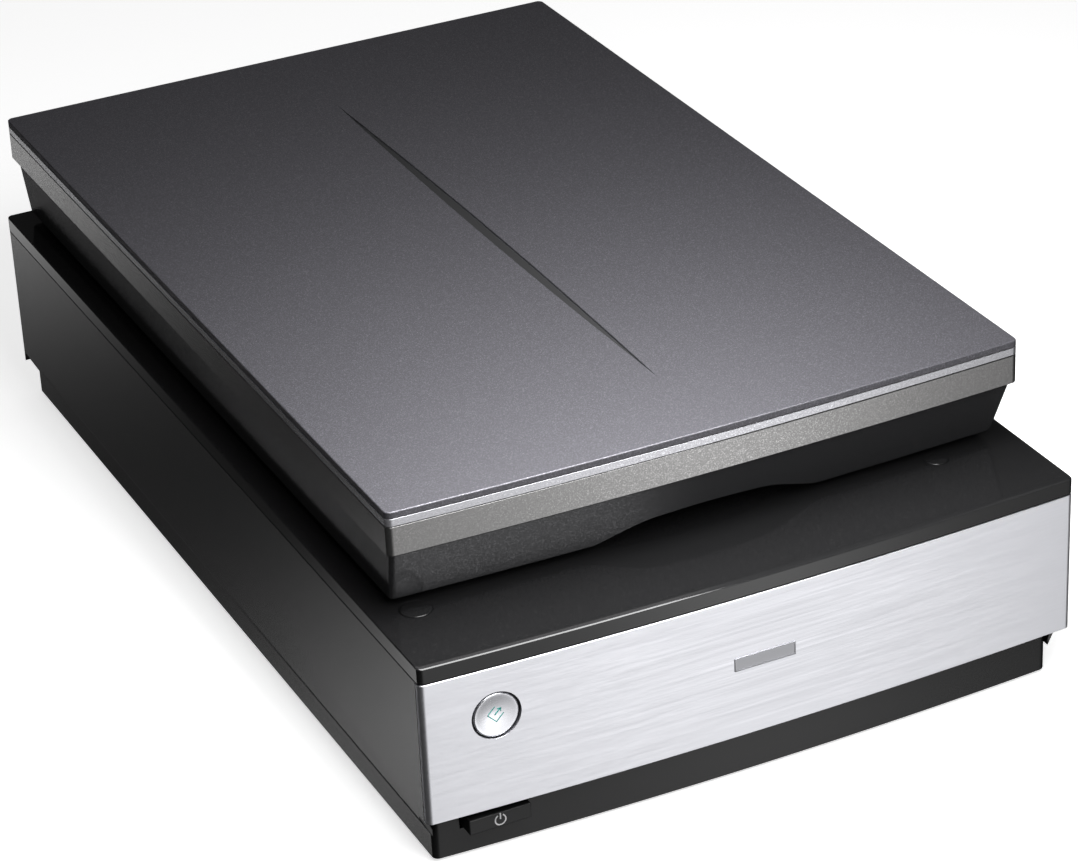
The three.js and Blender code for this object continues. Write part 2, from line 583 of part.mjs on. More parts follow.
// Sliding idler plate, pulled to the rear by a coil spring that keeps the belt tight
function addTensioner() {
  const { x } = GEAR;
  const base = FLOOR_TOP + GAP;
  const plate = box(x - 12, x + 12, IDLER_Y - 10, IDLER_Y + 10, base, base + 2.4);
  const hook = box(x - 2.5, x + 2.5, IDLER_Y + 7.5, IDLER_Y + 9.5, base + 1, SPRING.z + 3);
  const seat = disc(AXLE.seat, base + 1, PULLEY.z[0] - 0.5, x, IDLER_Y, 16);
  const axle = disc(AXLE.r, base + 1, PULLEY.z[1] + 1, x, IDLER_Y, 16);
  addPart('idler_bracket', join(plate, hook, seat, axle), GALVANISED);
  class Coil extends THREE.Curve {
    getPoint(t) {
      const angle = t * SPRING.turns * 2 * Math.PI;
      const [across, up] = [SPRING.r * Math.cos(angle), SPRING.r * Math.sin(angle)];
      return new THREE.Vector3(x + across, IDLER_Y + SPRING.start + SPRING.long * t, SPRING.z + up);
    }
  }
  const wire = Array.from({ length: 5 }, (_, i) => {
    const angle = (i * 2 * Math.PI) / 5;
    return [SPRING.wire * Math.cos(angle), SPRING.wire * Math.sin(angle)];
  });
  const path = { steps: 54, extrudePath: new Coil(), bevelEnabled: false };
  addPart('tension_spring', solid(new THREE.ExtrudeGeometry(shapeOf(wire), path)), STEEL);
}

// ---- Electronics --------------------------------------------------------------------------------

// Board on four posts, with its chips [x, y, width, height], capacitors and a connector
function addMainBoard() {
  const { x, y, z: [under, deck] } = MAIN_BOARD;
  const root = deck - 0.5;
  const posts = [x[0] + 4, x[1] - 4].flatMap((px) => [y[0] + 4, y[1] - 4].map(
    (py) => disc(3, FLOOR_TOP + GAP, under + 0.5, px, py, 12)));
  const chips = [[-40, 20, 28, 2.5], [-15, 55, 14, 2], [-60, 70, 16, 2], [-20, -15, 12, 2]];
  const capacitors = [-66, -52, -38].map((cx) => disc(5, root, deck + 11, cx, y[0] + 18, 16));
  addPart('main_board', join(
    box(...x, ...y, under, deck), ...posts, ...capacitors,
    ...chips.map(([cx, cy, w, h]) => box(cx - w / 2, cx + w / 2, cy - w / 2, cy + w / 2, root, deck + h)),
    box(-70, -30, y[1] - 14, y[1] - 6, root, deck + 6)), CIRCUIT);
}

// ---- Transport locks ------------------------------------------------------------------------------

// Slotted discs on a stem with a finger that holds the moving unit; the lid's one hangs upside down
function addLocks() {
  const slot = (x, y, z0, z1) => box(x - 6, x + 6, y - 0.8, y + 0.8, z0, z1);
  const [stem, finger] = [4, 2];
  const { x, y } = CASE_LOCK;
  const caseTop = CASE_TOP - 0.2;
  const [head, toe] = [caseTop - 4.4, caseTop - 14.4];
  addPart('carriage_lock', cut(
    join(disc(LOCK_R, head, caseTop, x, y), disc(stem, toe, head + 1, x, y),
      box(x - finger, x + finger, y, y + 13, toe, toe + 3)),
    slot(x, y, caseTop - 1.4, FAR)), SATIN_CHARCOAL);
  const [lx, ly] = [LID_LOCK.x, LID_LOCK.y];
  const base = COVER_Z[0] + 0.2;
  const [lidHead, lidToe] = [base + 3.5, base + 8.5];
  addPart('lid_lock', cut(
    join(disc(LOCK_R, base, lidHead, lx, ly), disc(stem, lidHead - 1, lidToe, lx, ly),
      box(lx - finger, lx + finger, ly, ly + 7, lidToe - 3, lidToe)),
    slot(lx, ly, 0, base + 1.4)), SATIN_CHARCOAL);
}

// ---- Hinges -------------------------------------------------------------------------------------------

function addHinge(name, side) {
  const x = side * HINGE.x;
  const { y, z, half, knuckle, bore, pin } = HINGE;
  const { reach, ear, eye, front, base } = BRACKET;
  const post = join(box(x - half, x + half, y - knuckle, y + knuckle, POST_BOTTOM, z),
    rodAlongX(knuckle, x - half, x + half, y, z, 28));
  addPart(`hinge_post_${name}`, cut(post, rodAlongX(bore, x - half - 1, x + half + 1, y, z)), MATT_BLACK);
  const cheek = (x0) => join(
    box(x0, x0 + ear, y - 7, y + eye, z, z + base + 1.5),
    rodAlongX(eye, x0, x0 + ear, y, z),
    box(x0, x0 + ear, y - 7, y, z - 4, z + 1));
  const plate = box(x - reach, x + reach, y - front, y + eye, z + base, z + base + 2);
  const bracket = join(cheek(x - reach), cheek(x + reach - ear), plate);
  addPart(`hinge_bracket_${name}`, cut(
    bracket, rodAlongX(bore, x - reach - 1, x + reach + 1, y, z)), GALVANISED);
  addPart(`hinge_pin_${name}`, rodAlongX(pin, x - reach - 0.6, x + reach + 0.6, y, z), STEEL);
}

// ---- Lid ----------------------------------------------------------------------------------------------

function addLidTop() {
  const steps = 24;
  const side = (sign) => Array.from({ length: steps }, (_, i) => {
    const t = sign * ((2 * i) / steps - 1);
    return [sign * GROOVE.halfWidth * (1 - t * t), GROOVE.y + GROOVE.halfLength * t];
  });
  const lens = [...side(1), ...side(-1)];
  const edge = 0.6;
  const plate = loft(
    [lidOutline(0), TRIM_Z[1] + GAP], [lidOutline(0), LID_TOP - edge], [lidOutline(edge), LID_TOP]);
  addPart('lid_top_cover', cut(plate, slab(lens, LID_TOP - GROOVE.depth, FAR)), GRAPHITE_PAINT);
  const hollow = (inset) => slab(lidOutline(inset), 0, FAR);
  addPart('lid_trim_strip', cut(slab(lidOutline(0), ...TRIM_Z), hollow(2 * WALL)), SILVER_PAINT);
  addPart('lid_band', cut(slab(lidOutline(0), ...BAND_Z), hollow(WALL)), GREY_PAINT);
}

// Underside of the finger grip: flat in the middle, easing down to the rim at both ends
function gripProfile() {
  const points = [];
  for (let i = 0; i <= 24; i += 1) {
    const x = GRIP.half * (1 - i / 12);
    const ease = Math.min(1, (GRIP.half - Math.abs(x)) / (GRIP.half - GRIP.shoulder));
    const crown = Math.max(0, 1 - (x / GRIP.shoulder) ** 2) * GRIP.crown;
    points.push([x, GRIP.low + GRIP.rise * ease * ease * (3 - 2 * ease) + crown]);
  }
  return [[-GRIP.half, GRIP.low - 3], [GRIP.half, GRIP.low - 3], ...points];
}

// Outlines of the lower cover at its bottom, at the foot of its rim and at the rim
const COVER_LEVELS = [
  { half: 143.8, front: -198.6, rear: 243.1 },
  { half: 146.3, front: -208.5, rear: 246.2 },
  { half: 147.2, front: -209.9, rear: 248.6 },
];

function coverSkin(inset, floor, rim) {
  return loft(...COVER_LEVELS.map(({ half, front, rear }, i) => [
    outline(half - inset, front + inset, rear - inset, LID_BOW, LID_R), [floor, COVER_Z[1], rim][i]]));
}

function addLidCover() {
  const [low, , rim] = COVER_Z;
  const outer = coverSkin(0, low, rim);
  const gripBlock = outer.intersect(
    box(-GRIP.half - 6, GRIP.half + 6, -FAR, GRIP.back + 5, 0, GRIP.low + GRIP.rise + 4.2));
  const notch = (side) => {
    const { x, y, z, half, knuckle } = HINGE;
    const { clear } = BRACKET;
    return box(side * x - half - 1, side * x + half + 1,
      y - knuckle - clear, FAR, 0, z + knuckle + clear);
  };
  const rodPosts = LAMP_POST.y.map((y) => cut(
    box(LAMP.rodX - LAMP_POST.half, LAMP.rodX + LAMP_POST.half, y, y + LAMP_POST.long,
      low + 1, LAMP.rodZ + LAMP_POST.above),
    rodAlongY(LAMP.rodR + GAP, y - 1, y + LAMP_POST.long + 1, LAMP.rodX, LAMP.rodZ)));
  const ledge = box(...LID_LEDGE.x, ...LID_LEDGE.y, low + 1, LID_LEDGE.top);
  const { x: idlerX, y: [, idlerY], z: [under, over] } = LID_PULLEY;
  const idlerPost = join(
    disc(1.8, low + 1, over + 0.8, idlerX, idlerY, 14), disc(4, low + 1, under - 0.5, idlerX, idlerY, 14));
  const hollow = coverSkin(WALL, LID_FLOOR, rim + 1);
  const tray = join(cut(outer, hollow), gripBlock, ...rodPosts, ledge, idlerPost);
  addPart('lid_lower_cover', cut(tray,
    alongY(gripProfile(), -FAR, GRIP.back), notch(-1), notch(1),
    box(-WINDOW.half, WINDOW.half, ...WINDOW.y, 0, LID_FLOOR + 3),
    disc(LOCK_R + GAP, 0, LID_FLOOR + 3, LID_LOCK.x, LID_LOCK.y)), MATT_BLACK);
  const reach = WINDOW.half + WINDOW.ledge;
  const base = LID_FLOOR + GAP;
  addPart('lid_window', box(-reach, reach, WINDOW.y[0] - WINDOW.ledge, WINDOW.y[1] + WINDOW.ledge,
    base, base + 3), WHITE_PLASTIC);
}

function addMat() {
  addPart('document_mat', slab(outline(MAT.half, ...MAT.y, 0, 6, 1), ...MAT.z), WHITE_PLASTIC);
}

// Film lamp on its own rod, belt and motor inside the lid
function addLampUnit() {
  const { half, y: [y0, y1], z: [z0, z1], rodX, rodZ, rodR } = LAMP;
  const run = LID_PULLEY.x - LID_PULLEY.r - GAP - BELT_THICK / 2;
  const trough = box(-PLATEN_HALF + 5, PLATEN_HALF - 5, y0 + 4, y1 - 4, 0, z1 - 3);
  const bar = cut(box(rodX, half, y0, y1, z0, z1), trough);
  const sleeve = box(rodX - 8, rodX + 8, y0 - 4, y1 + 4, rodZ - 6.5, rodZ + 6.5);
  const hold = [y0 + 8, y1 - 8];
  const top = z1 + 0.8;
  const arm = box(half - 1, run + 2, ...hold, z1 - 1, top);
  const innerJaw = box(half - 1, run - 0.8, ...hold, z1 - 9, top);
  const outerJaw = box(run + 0.8, run + 2, ...hold, z1 - 8, top);
  const bore = rodAlongY(rodR + 0.2, y0 - 9, y1 + 9, rodX, rodZ);
  addPart('film_lamp_housing', cut(join(bar, sleeve, arm, innerJaw, outerJaw), bore), MATT_BLACK);
  addPart('film_lamp_rod', rodAlongY(rodR, -152, 222, rodX, rodZ), STEEL);
}

function addLidDrive() {
  const { x, y, z, r, belt } = LID_PULLEY;
  const can = { r: 12.5, base: LID_FLOOR + GAP, top: z[0] - 1.5 };
  const shaft = 1.5;
  addPart('film_lamp_motor', join(
    turned([[0, can.base], [can.r, can.base], [can.r, can.top], [0, can.top]], x, y[0]),
    disc(shaft, can.top - 0.5, z[1] + 0.6, x, y[0], 12)), STEEL);
  addPart('film_lamp_pulley', turned(pulleyProfile(LID_PULLEY, shaft + 0.2), x, y[0]), ACETAL);
  addPart('film_lamp_idler', turned(pulleyProfile(LID_PULLEY, 2.1), x, y[1]), ACETAL);
  addPart('film_lamp_belt', beltLoop(r + GAP, x, y[0], y[1], ...belt), RUBBER);
}

// ---- Assembly -----------------------------------------------------------------------------------------

addLowerCase();
addTopFrame();
addScrewCaps();
addSidePanel('side_panel_left', -1);
addSidePanel('side_panel_right', 1);
addRearPanel();
addPorts();
addFascia();
addFasciaCarrier();
addGlass();
addFeet();
addStartButton();
addPowerButton();
addButtonBoard();
addCarriage();
addLampBars();
addOptics();
addCarriageTrack();
addDrive();
addTensioner();
addMainBoard();
addLocks();
addHinge('left', -1);
addHinge('right', 1);
addLidTop();
addLidCover();
addMat();
addLampUnit();
addLidDrive();

export default part;
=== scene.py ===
"""Flatbed photo scanner: visible pieces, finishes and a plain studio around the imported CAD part."""

import json
from math import cos, pi, radians, sin

import bmesh
import bpy
from bpy.props import FloatProperty, FloatVectorProperty, PointerProperty
from bpy.types import Operator, Panel, PropertyGroup
from mathutils import Matrix, Vector

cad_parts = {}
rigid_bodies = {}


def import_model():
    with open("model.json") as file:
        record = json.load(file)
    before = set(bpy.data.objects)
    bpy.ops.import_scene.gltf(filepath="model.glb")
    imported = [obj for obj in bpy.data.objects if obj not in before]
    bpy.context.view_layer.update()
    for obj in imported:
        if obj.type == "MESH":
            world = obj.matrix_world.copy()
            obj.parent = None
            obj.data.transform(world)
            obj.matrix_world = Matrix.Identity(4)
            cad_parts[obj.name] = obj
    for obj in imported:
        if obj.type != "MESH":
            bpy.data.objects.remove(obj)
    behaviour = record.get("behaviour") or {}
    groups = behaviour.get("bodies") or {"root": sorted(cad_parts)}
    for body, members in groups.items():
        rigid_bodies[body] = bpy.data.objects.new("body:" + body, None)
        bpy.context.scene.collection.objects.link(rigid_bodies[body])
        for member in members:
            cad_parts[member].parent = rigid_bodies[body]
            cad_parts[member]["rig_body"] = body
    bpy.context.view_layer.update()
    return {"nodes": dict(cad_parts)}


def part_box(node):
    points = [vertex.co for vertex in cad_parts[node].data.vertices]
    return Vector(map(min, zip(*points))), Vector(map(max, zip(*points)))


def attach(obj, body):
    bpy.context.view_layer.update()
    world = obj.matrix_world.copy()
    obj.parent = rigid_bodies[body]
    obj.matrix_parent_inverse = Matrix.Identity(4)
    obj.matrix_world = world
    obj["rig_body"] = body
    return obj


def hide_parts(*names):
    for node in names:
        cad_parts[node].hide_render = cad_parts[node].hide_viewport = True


bl_info = {
    "name": "Flatbed scanner",
    "version": (1, 0, 0),
    "blender": (4, 5, 0),
    "location": "3D view > Sidebar > Scanner",
    "description": "Builds the visible pieces and finishes of a flatbed photo scanner",
    "category": "Object",
}

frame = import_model()
NODES = frame["nodes"]

MM = 0.001
BODY = {name: o["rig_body"] for name, o in NODES.items()}


# ---- Settings ----

def length(name, description, default, low=0.0, high=2.0):
    return FloatProperty(
        name=name, description=description, default=default, min=low, max=high,
        subtype="DISTANCE", unit="LENGTH", precision=4)


def signed(name, description, default):
    return length(name, description, default, low=-2.0)


def colour(name, description, default):
    return FloatVectorProperty(
        name=name, description=description, default=default, size=3, subtype="COLOR",
        min=0.0, max=1.0)


def share(name, description, default, high=1.0):
    return FloatProperty(name=name, description=description, default=default, min=0.0, max=high)


def angle(name, description, degrees):
    return FloatProperty(
        name=name, description=description, default=radians(degrees), subtype="ANGLE",
        unit="ROTATION")


def power(name, description, default):
    return FloatProperty(name=name, description=description, default=default, min=0.0,
                         unit="POWER")


class CaseSettings(PropertyGroup):
    """Sizes of the case below the lid"""

    half: length("Half width", "Half the width of the case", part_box("top_frame")[1].x)
    front: signed("Front", "Where the straight front line of the case lies", -0.2472)
    rear: signed("Rear", "Where the rear face of the case lies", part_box("rear_panel")[1].y)
    bow: length("Bow", "How far the front edge bows forward", 0.0043)
    corner: length("Corner", "Radius of the upright corners", 0.0025)
    top: length("Top", "Height of the gloss frame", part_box("top_frame")[1].z)
    front_roll: length("Front roll", "Depth of the soft roll along the front edge", 0.005)
    front_drop: length("Front drop", "Height lost over the soft roll", 0.0007)


class LidSettings(PropertyGroup):
    """Sizes of the lid"""

    half: length("Half width", "Half the width of the lid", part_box("lid_top_cover")[1].x)
    front: signed("Front", "Where the straight front line of the lid lies", -0.2111)
    rear: signed("Rear", "Where the rear face of the lid lies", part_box("lid_top_cover")[1].y)
    bow: length("Bow", "How far the front edge bows forward", 0.0034)
    corner: length("Corner", "Radius of the upright corners", 0.003)
    edge: length("Edge", "Radius rolled on the top edge", 0.0006)
    groove: length("Groove", "Half the length of the lens-shaped groove", 0.1675)
    groove_width: length("Groove width", "Half the width of the groove at its middle", 0.00265)


class FinishSettings(PropertyGroup):
    """Colours of the finishes"""

    graphite: colour("Graphite", "Paint of the lid's top", (0.084, 0.082, 0.092))
    silver: colour("Silver", "Strip round the lid", (0.36, 0.36, 0.38))
    grey: colour("Grey", "Band round the lid", (0.17, 0.168, 0.167))
    black: colour("Black", "Grained black mouldings", (0.012, 0.012, 0.0125))
    gloss: colour("Gloss", "Gloss black frame", (0.008, 0.008, 0.0083))
    charcoal: colour("Charcoal", "Satin side panels", (0.02, 0.02, 0.021))
    aluminium: colour("Aluminium", "Brushed front", (0.88, 0.885, 0.93))
    icon: colour("Icon", "Line on the start button", (0.02, 0.25, 0.22))


class StudioSettings(PropertyGroup):
    """Camera and light"""

    azimuth: angle("Azimuth", "Camera turn from the front", -24.873)
    elevation: angle("Elevation", "Camera height above the floor", 28.176)
    roll: angle("Roll", "Camera roll", -2.798)
    distance: length("Distance", "Camera distance", 1.69812, high=10.0)
    lens: FloatProperty(name="Lens", description="Focal length", default=123.37, min=10.0,
                        max=500.0, subtype="DISTANCE_CAMERA", unit="CAMERA")
    top: power("Top", "Power of the wide overhead light", 12.0)
    lid: power("Lid", "Power of the soft box close over the front of the lid", 3.3)
    front: power("Front", "Power of the soft box in front of the lid", 2.8)
    sky: share("Sky", "Strength of the dim surroundings", 0.035, high=5.0)


# ---- Mesh helpers ----

def middle(node):
    """Middle of a CAD node's box."""
    low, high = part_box(node)
    return (low + high) / 2


def plan(half, front, rear, bow, radius, steps=48, corner=8):
    """Counter-clockwise outline with a bowed front edge and rounded corners."""
    radius = max(radius, 0.0003)
    reach = half - radius
    points = []
    for i in range(steps + 1):
        x = reach * (2 * i / steps - 1)
        points.append((x, front - bow * (1 - (x / reach) ** 2)))
    corners = ((reach, front + radius, -90), (reach, rear - radius, 0),
               (-reach, rear - radius, 90), (-reach, front + radius, 180))
    for x, y, start in corners:
        for i in range(0 if y > front + radius else 1, corner + 1):
            turn = radians(start + 90 * i / corner)
            points.append((x + radius * cos(turn), y + radius * sin(turn)))
    points.pop()
    return points


def rolled(low, high, low_radius, high_radius, steps=4):
    """(inset, z) pairs up a wall whose lower and upper edges are rounded."""
    pairs = []
    for i in range(steps + 1):
        turn = pi / 2 * i / steps
        if low_radius:
            pairs.append((low_radius * (1 - sin(turn)), low + low_radius * (1 - cos(turn))))
    if not low_radius:
        pairs.append((0.0, low))
    for i in range(steps + 1):
        turn = pi / 2 * i / steps
        if high_radius:
            pairs.append((high_radius * (1 - cos(turn)), high - high_radius * (1 - sin(turn))))
    if not high_radius:
        pairs.append((0.0, high))
    return pairs


def new_object(name, mesh):
    obj = bpy.data.objects.new(name, mesh)
    bpy.context.scene.collection.objects.link(obj)
    return obj


def skin(name, rings, closed=False):
    """Object skinned over rings of equal point count; open stacks are capped."""
    count = len(rings[0])
    faces = []
    pairs = [(k, k + 1) for k in range(len(rings) - 1)]
    if closed:
        pairs.append((len(rings) - 1, 0))
    for a, b in pairs:
        for i in range(count):
            j = (i + 1) % count
            faces.append((a * count + i, a * count + j, b * count + j, b * count + i))
    if not closed:
        faces.append(tuple(reversed(range(count))))
        faces.append(tuple((len(rings) - 1) * count + i for i in range(count)))
    mesh = bpy.data.meshes.new(name)
    mesh.from_pydata([p for ring in rings for p in ring], [], faces)
    tidy_normals(mesh)
    return new_object(name, mesh)


def tidy_normals(mesh):
    shape = bmesh.new()
    shape.from_mesh(mesh)
    bmesh.ops.remove_doubles(shape, verts=shape.verts, dist=1e-7)
    bmesh.ops.recalc_face_normals(shape, faces=shape.faces)
    shape.to_mesh(mesh)
    shape.free()


def level(points, z):
    return [(x, y, z) for x, y in points]


def block(name, x0, x1, y0, y1, z0, z1):
    return skin(name, [level([(x0, y0), (x1, y0), (x1, y1), (x0, y1)], z) for z in (z0, z1)])


def turned(name, profile, centre, axis="Z", sides=64):
    """Solid of revolution from (radius, height) pairs about an axis through centre."""
    rings = []
    for r, h in profile:
        ring = []
        for i in range(sides):
            turn = 2 * pi * i / sides
            a, b = max(r, 1e-5) * cos(turn), max(r, 1e-5) * sin(turn)
            ring.append({"Z": (a, b, h), "Y": (a, -h, b), "X": (h, a, b)}[axis])
        rings.append([tuple(Vector(p) + Vector(centre)) for p in ring])
    return skin(name, rings)


def prism(name, section, axis, low, high):
    """Straight solid with a (u, v) section along X, Y or Z."""
    place = {"X": lambda u, v, w: (w, u, v), "Y": lambda u, v, w: (u, w, v),
             "Z": lambda u, v, w: (u, v, w)}[axis]
    return skin(name, [[place(u, v, w) for u, v in section] for w in (low, high)])


def settle(obj):
    """Applies the modifiers."""
    graph = bpy.context.evaluated_depsgraph_get()
    mesh = bpy.data.meshes.new_from_object(obj.evaluated_get(graph))
    obj.modifiers.clear()
    obj.data = mesh
    return obj


def combine(obj, others, operation):
    for other in others:
        modifier = obj.modifiers.new("shape", "BOOLEAN")
        modifier.operation = operation
        modifier.object = other
        modifier.solver = "EXACT"
        settle(obj)
        bpy.data.objects.remove(other)
    return obj


def cut(obj, *others):
    return combine(obj, others, "DIFFERENCE")


def join(obj, *others):
    return combine(obj, others, "UNION")


def gather(name, objects):
    """One object from several."""
    shape = bmesh.new()
    for obj in objects:
        shape.from_mesh(settle(obj).data)
        bpy.data.objects.remove(obj)
    mesh = bpy.data.meshes.new(name)
    shape.to_mesh(mesh)
    shape.free()
    return new_object(name, mesh)


def screw(at, toward, r=2.6 * MM):
    """Pan-head screw with a cross recess, seated at a point and facing a direction."""
    head = turned("screw", [(0, 0), (r, 0), (r, 0.25 * r), (0.86 * r, 0.5 * r),
                            (0.55 * r, 0.62 * r), (0, 0.66 * r)], (0, 0, 0), sides=24)
    arm, slot = 0.6 * r, 0.13 * r
    cut(head, block("t", -arm, arm, -slot, slot, 0.3 * r, r),
        block("t", -slot, slot, -arm, arm, 0.3 * r, r))
    turn = Vector((0, 0, 1)).rotation_difference(Vector(toward)).to_matrix().to_4x4()
    head.data.transform(Matrix.Translation(Vector(at)) @ turn)
    return head


def bevelled(x0, x1, y0, y1, z0, z1, width=0.2 * MM, name="t"):
    return settle(soften(block(name, x0, x1, y0, y1, z0, z1), width))


def soften(obj, width, segments=2, limit=35):
    modifier = obj.modifiers.new("edges", "BEVEL")
    modifier.width = width
    modifier.segments = segments
    modifier.limit_method = "ANGLE"
    modifier.angle_limit = radians(limit)
    modifier.use_clamp_overlap = True
    modifier.harden_normals = False
    return obj


def piece(obj, body, finish, slot=None, replaces=(), smooth=35):
    """Shades, paints and places a finished piece on its body."""
    obj.data.materials.clear()
    obj.data.materials.append(MATERIALS[finish])
    obj.data.shade_smooth()
    obj.data.set_sharp_from_angle(angle=radians(smooth))
    normal = obj.modifiers.new("normals", "WEIGHTED_NORMAL")
    normal.keep_sharp = True
    normal.weight = 80
    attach(obj, body)
    if replaces:
        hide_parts(*replaces)


# ---- Shader groups ----

def place(tree, kind, inputs=None, **settings):
    """Adds a node, sets it up and links or fills its inputs."""
    node = tree.nodes.new(kind)
    for key, value in settings.items():
        setattr(node, key, value)
    for key, value in (inputs or {}).items():
        socket = node.inputs[key]
        if isinstance(value, bpy.types.NodeSocket):
            tree.links.new(value, socket)
        else:
            socket.default_value = value
    return node


def math(tree, operation, a, b=0.0, clamp=False):
    return place(tree, "ShaderNodeMath", {0: a, 1: b}, operation=operation,
                 use_clamp=clamp).outputs[0]


def group(name, inputs, outputs, build):
    """Node group whose inputs are {name: default} and outputs {name: socket kind}."""
    tree = bpy.data.node_groups.new(name, "ShaderNodeTree")
    for label, default in inputs.items():
        tree.interface.new_socket(
            name=label, in_out="INPUT", socket_type="NodeSocketFloat").default_value = default
    for label, kind in outputs.items():
        tree.interface.new_socket(name=label, in_out="OUTPUT", socket_type=kind)
    source = tree.nodes.new("NodeGroupInput")
    made = build(tree, source.outputs)
    sink = tree.nodes.new("NodeGroupOutput")
    for label, socket in made.items():
        tree.links.new(socket, sink.inputs[label])
    return tree


def stretched(tree, along_x, along_y, along_z):
    """Object coordinates scaled by three sockets or numbers."""
    place_at = place(tree, "ShaderNodeTexCoord").outputs["Object"]
    scale = place(tree, "ShaderNodeCombineXYZ", {0: along_x, 1: along_y, 2: along_z}).outputs[0]
    return place(tree, "ShaderNodeVectorMath", {0: place_at, 1: scale},
                 operation="MULTIPLY").outputs[0]


def build_grain(tree, inputs):
    """Spark-eroded mould grain: fine bumps and the change of gloss that goes with them."""
    at = stretched(tree, inputs["Scale"], inputs["Scale"], inputs["Scale"])
    fine = place(tree, "ShaderNodeTexNoise",
                 {"Vector": at, "Scale": 1.0, "Detail": 3.0, "Roughness": 0.6}).outputs[0]
    cells = place(tree, "ShaderNodeTexVoronoi", {"Vector": at, "Scale": 0.8},
                  feature="SMOOTH_F1").outputs["Distance"]
    height = math(tree, "ADD", fine, math(tree, "MULTIPLY", cells, -0.6))
    broad = place(tree, "ShaderNodeTexNoise", {
        "Vector": stretched(tree, 9.0, 9.0, 9.0), "Scale": 1.0, "Detail": 2.0}).outputs[0]
    centred = math(tree, "SUBTRACT", fine, 0.5)
    spread = math(tree, "MULTIPLY", centred, inputs["Contrast"])
    drift = math(tree, "MULTIPLY", math(tree, "SUBTRACT", broad, 0.5), 0.12)
    tone = math(tree, "ADD", spread, drift)
    return {"Height": height, "Tone": tone}


def build_brush(tree, inputs):
    """Straight brushing along X: long streaks with fine lines between them."""
    long = place(tree, "ShaderNodeTexNoise", {
        "Vector": stretched(tree, 4.0, inputs["Lines"], inputs["Lines"]),
        "Scale": 1.0, "Detail": 4.0, "Roughness": 0.65}).outputs[0]
    fine = place(tree, "ShaderNodeTexNoise", {
        "Vector": stretched(tree, 26.0, 5200.0, 5200.0), "Scale": 1.0, "Detail": 2.0}).outputs[0]
    streak = math(tree, "ADD", math(tree, "MULTIPLY", long, 0.6), math(tree, "MULTIPLY", fine, 0.4))
    tone = math(tree, "MULTIPLY", math(tree, "SUBTRACT", streak, 0.5), inputs["Contrast"])
    return {"Height": streak, "Tone": tone}


def build_flake(tree, inputs):
    """Metal flakes in paint: each cell tilts its own way and catches a little light."""
    at = stretched(tree, inputs["Scale"], inputs["Scale"], inputs["Scale"])
    cells = place(tree, "ShaderNodeTexVoronoi", {"Vector": at, "Scale": 1.0})
    split = place(tree, "ShaderNodeSeparateColor", {0: cells.outputs["Color"]}).outputs
    bright = math(tree, "POWER", split[0], inputs["Rarity"])
    return {"Flake": bright, "Height": split[1]}


def build_edge(tree, inputs):
    """Mask along the edges of a solid, broken up by noise, for light handling wear."""
    rounded = place(tree, "ShaderNodeBevel", {"Radius": inputs["Width"]}, samples=4).outputs[0]
    normal = place(tree, "ShaderNodeNewGeometry").outputs["Normal"]
    facing = place(tree, "ShaderNodeVectorMath", {0: rounded, 1: normal},
                   operation="DOT_PRODUCT").outputs["Value"]
    turn = math(tree, "SUBTRACT", 1.0, facing, clamp=True)
    noise = place(tree, "ShaderNodeTexNoise", {
        "Vector": stretched(tree, 120.0, 120.0, 120.0), "Scale": 1.0, "Detail": 3.0}).outputs[0]
    mask = math(tree, "MULTIPLY", math(tree, "MULTIPLY", turn, 6.0, clamp=True), noise)
    return {"Mask": mask}


def build_dust(tree, inputs):
    """Faint settled dust on faces that look up."""
    normal = place(tree, "ShaderNodeNewGeometry").outputs["Normal"]
    up = place(tree, "ShaderNodeSeparateXYZ", {0: normal}).outputs[2]
    cloud = place(tree, "ShaderNodeTexNoise", {
        "Vector": stretched(tree, 22.0, 22.0, 22.0), "Scale": 1.0, "Detail": 5.0}).outputs[0]
    specks = place(tree, "ShaderNodeTexNoise", {
        "Vector": stretched(tree, 900.0, 900.0, 900.0), "Scale": 1.0, "Detail": 1.0}).outputs[0]
    fine = math(tree, "MULTIPLY", math(tree, "SUBTRACT", specks, 0.62), 4.0, clamp=True)
    amount = math(tree, "MULTIPLY", math(tree, "MULTIPLY", cloud, fine), inputs["Amount"])
    return {"Mask": math(tree, "MULTIPLY", amount, math(tree, "MAXIMUM", up, 0.0), clamp=True)}


FLOAT = "NodeSocketFloat"
GROUPS = {}
MATERIALS = {}


def build_groups():
    GROUPS["grain"] = group("Mould grain", {"Scale": 1500.0, "Contrast": 0.3},
                            {"Height": FLOAT, "Tone": FLOAT}, build_grain)
    GROUPS["brush"] = group("Straight brushing", {"Lines": 1400.0, "Contrast": 0.4},
                            {"Height": FLOAT, "Tone": FLOAT}, build_brush)
    GROUPS["flake"] = group("Paint flake", {"Scale": 3200.0, "Rarity": 4.0},
                            {"Flake": FLOAT, "Height": FLOAT}, build_flake)
    GROUPS["edge"] = group("Edge wear", {"Width": 0.0006}, {"Mask": FLOAT}, build_edge)
    GROUPS["dust"] = group("Settled dust", {"Amount": 0.2}, {"Mask": FLOAT}, build_dust)


def use(tree, name, **values):
    node = tree.nodes.new("ShaderNodeGroup")
    node.node_tree = GROUPS[name]
    for key, value in values.items():
        node.inputs[key].default_value = value
    return node.outputs


def blend(tree, factor, a, b):
    """Mixes two colours, each a socket or a plain colour."""
    mix = place(tree, "ShaderNodeMix", {0: factor}, data_type="RGBA")
    for socket, value in ((mix.inputs[6], a), (mix.inputs[7], b)):
        if isinstance(value, bpy.types.NodeSocket):
            tree.links.new(value, socket)
        else:
            socket.default_value = (*value, 1.0)
    return mix.outputs[2]


def scaled(base, factor):
    return tuple(min(c * factor, 1.0) for c in base)


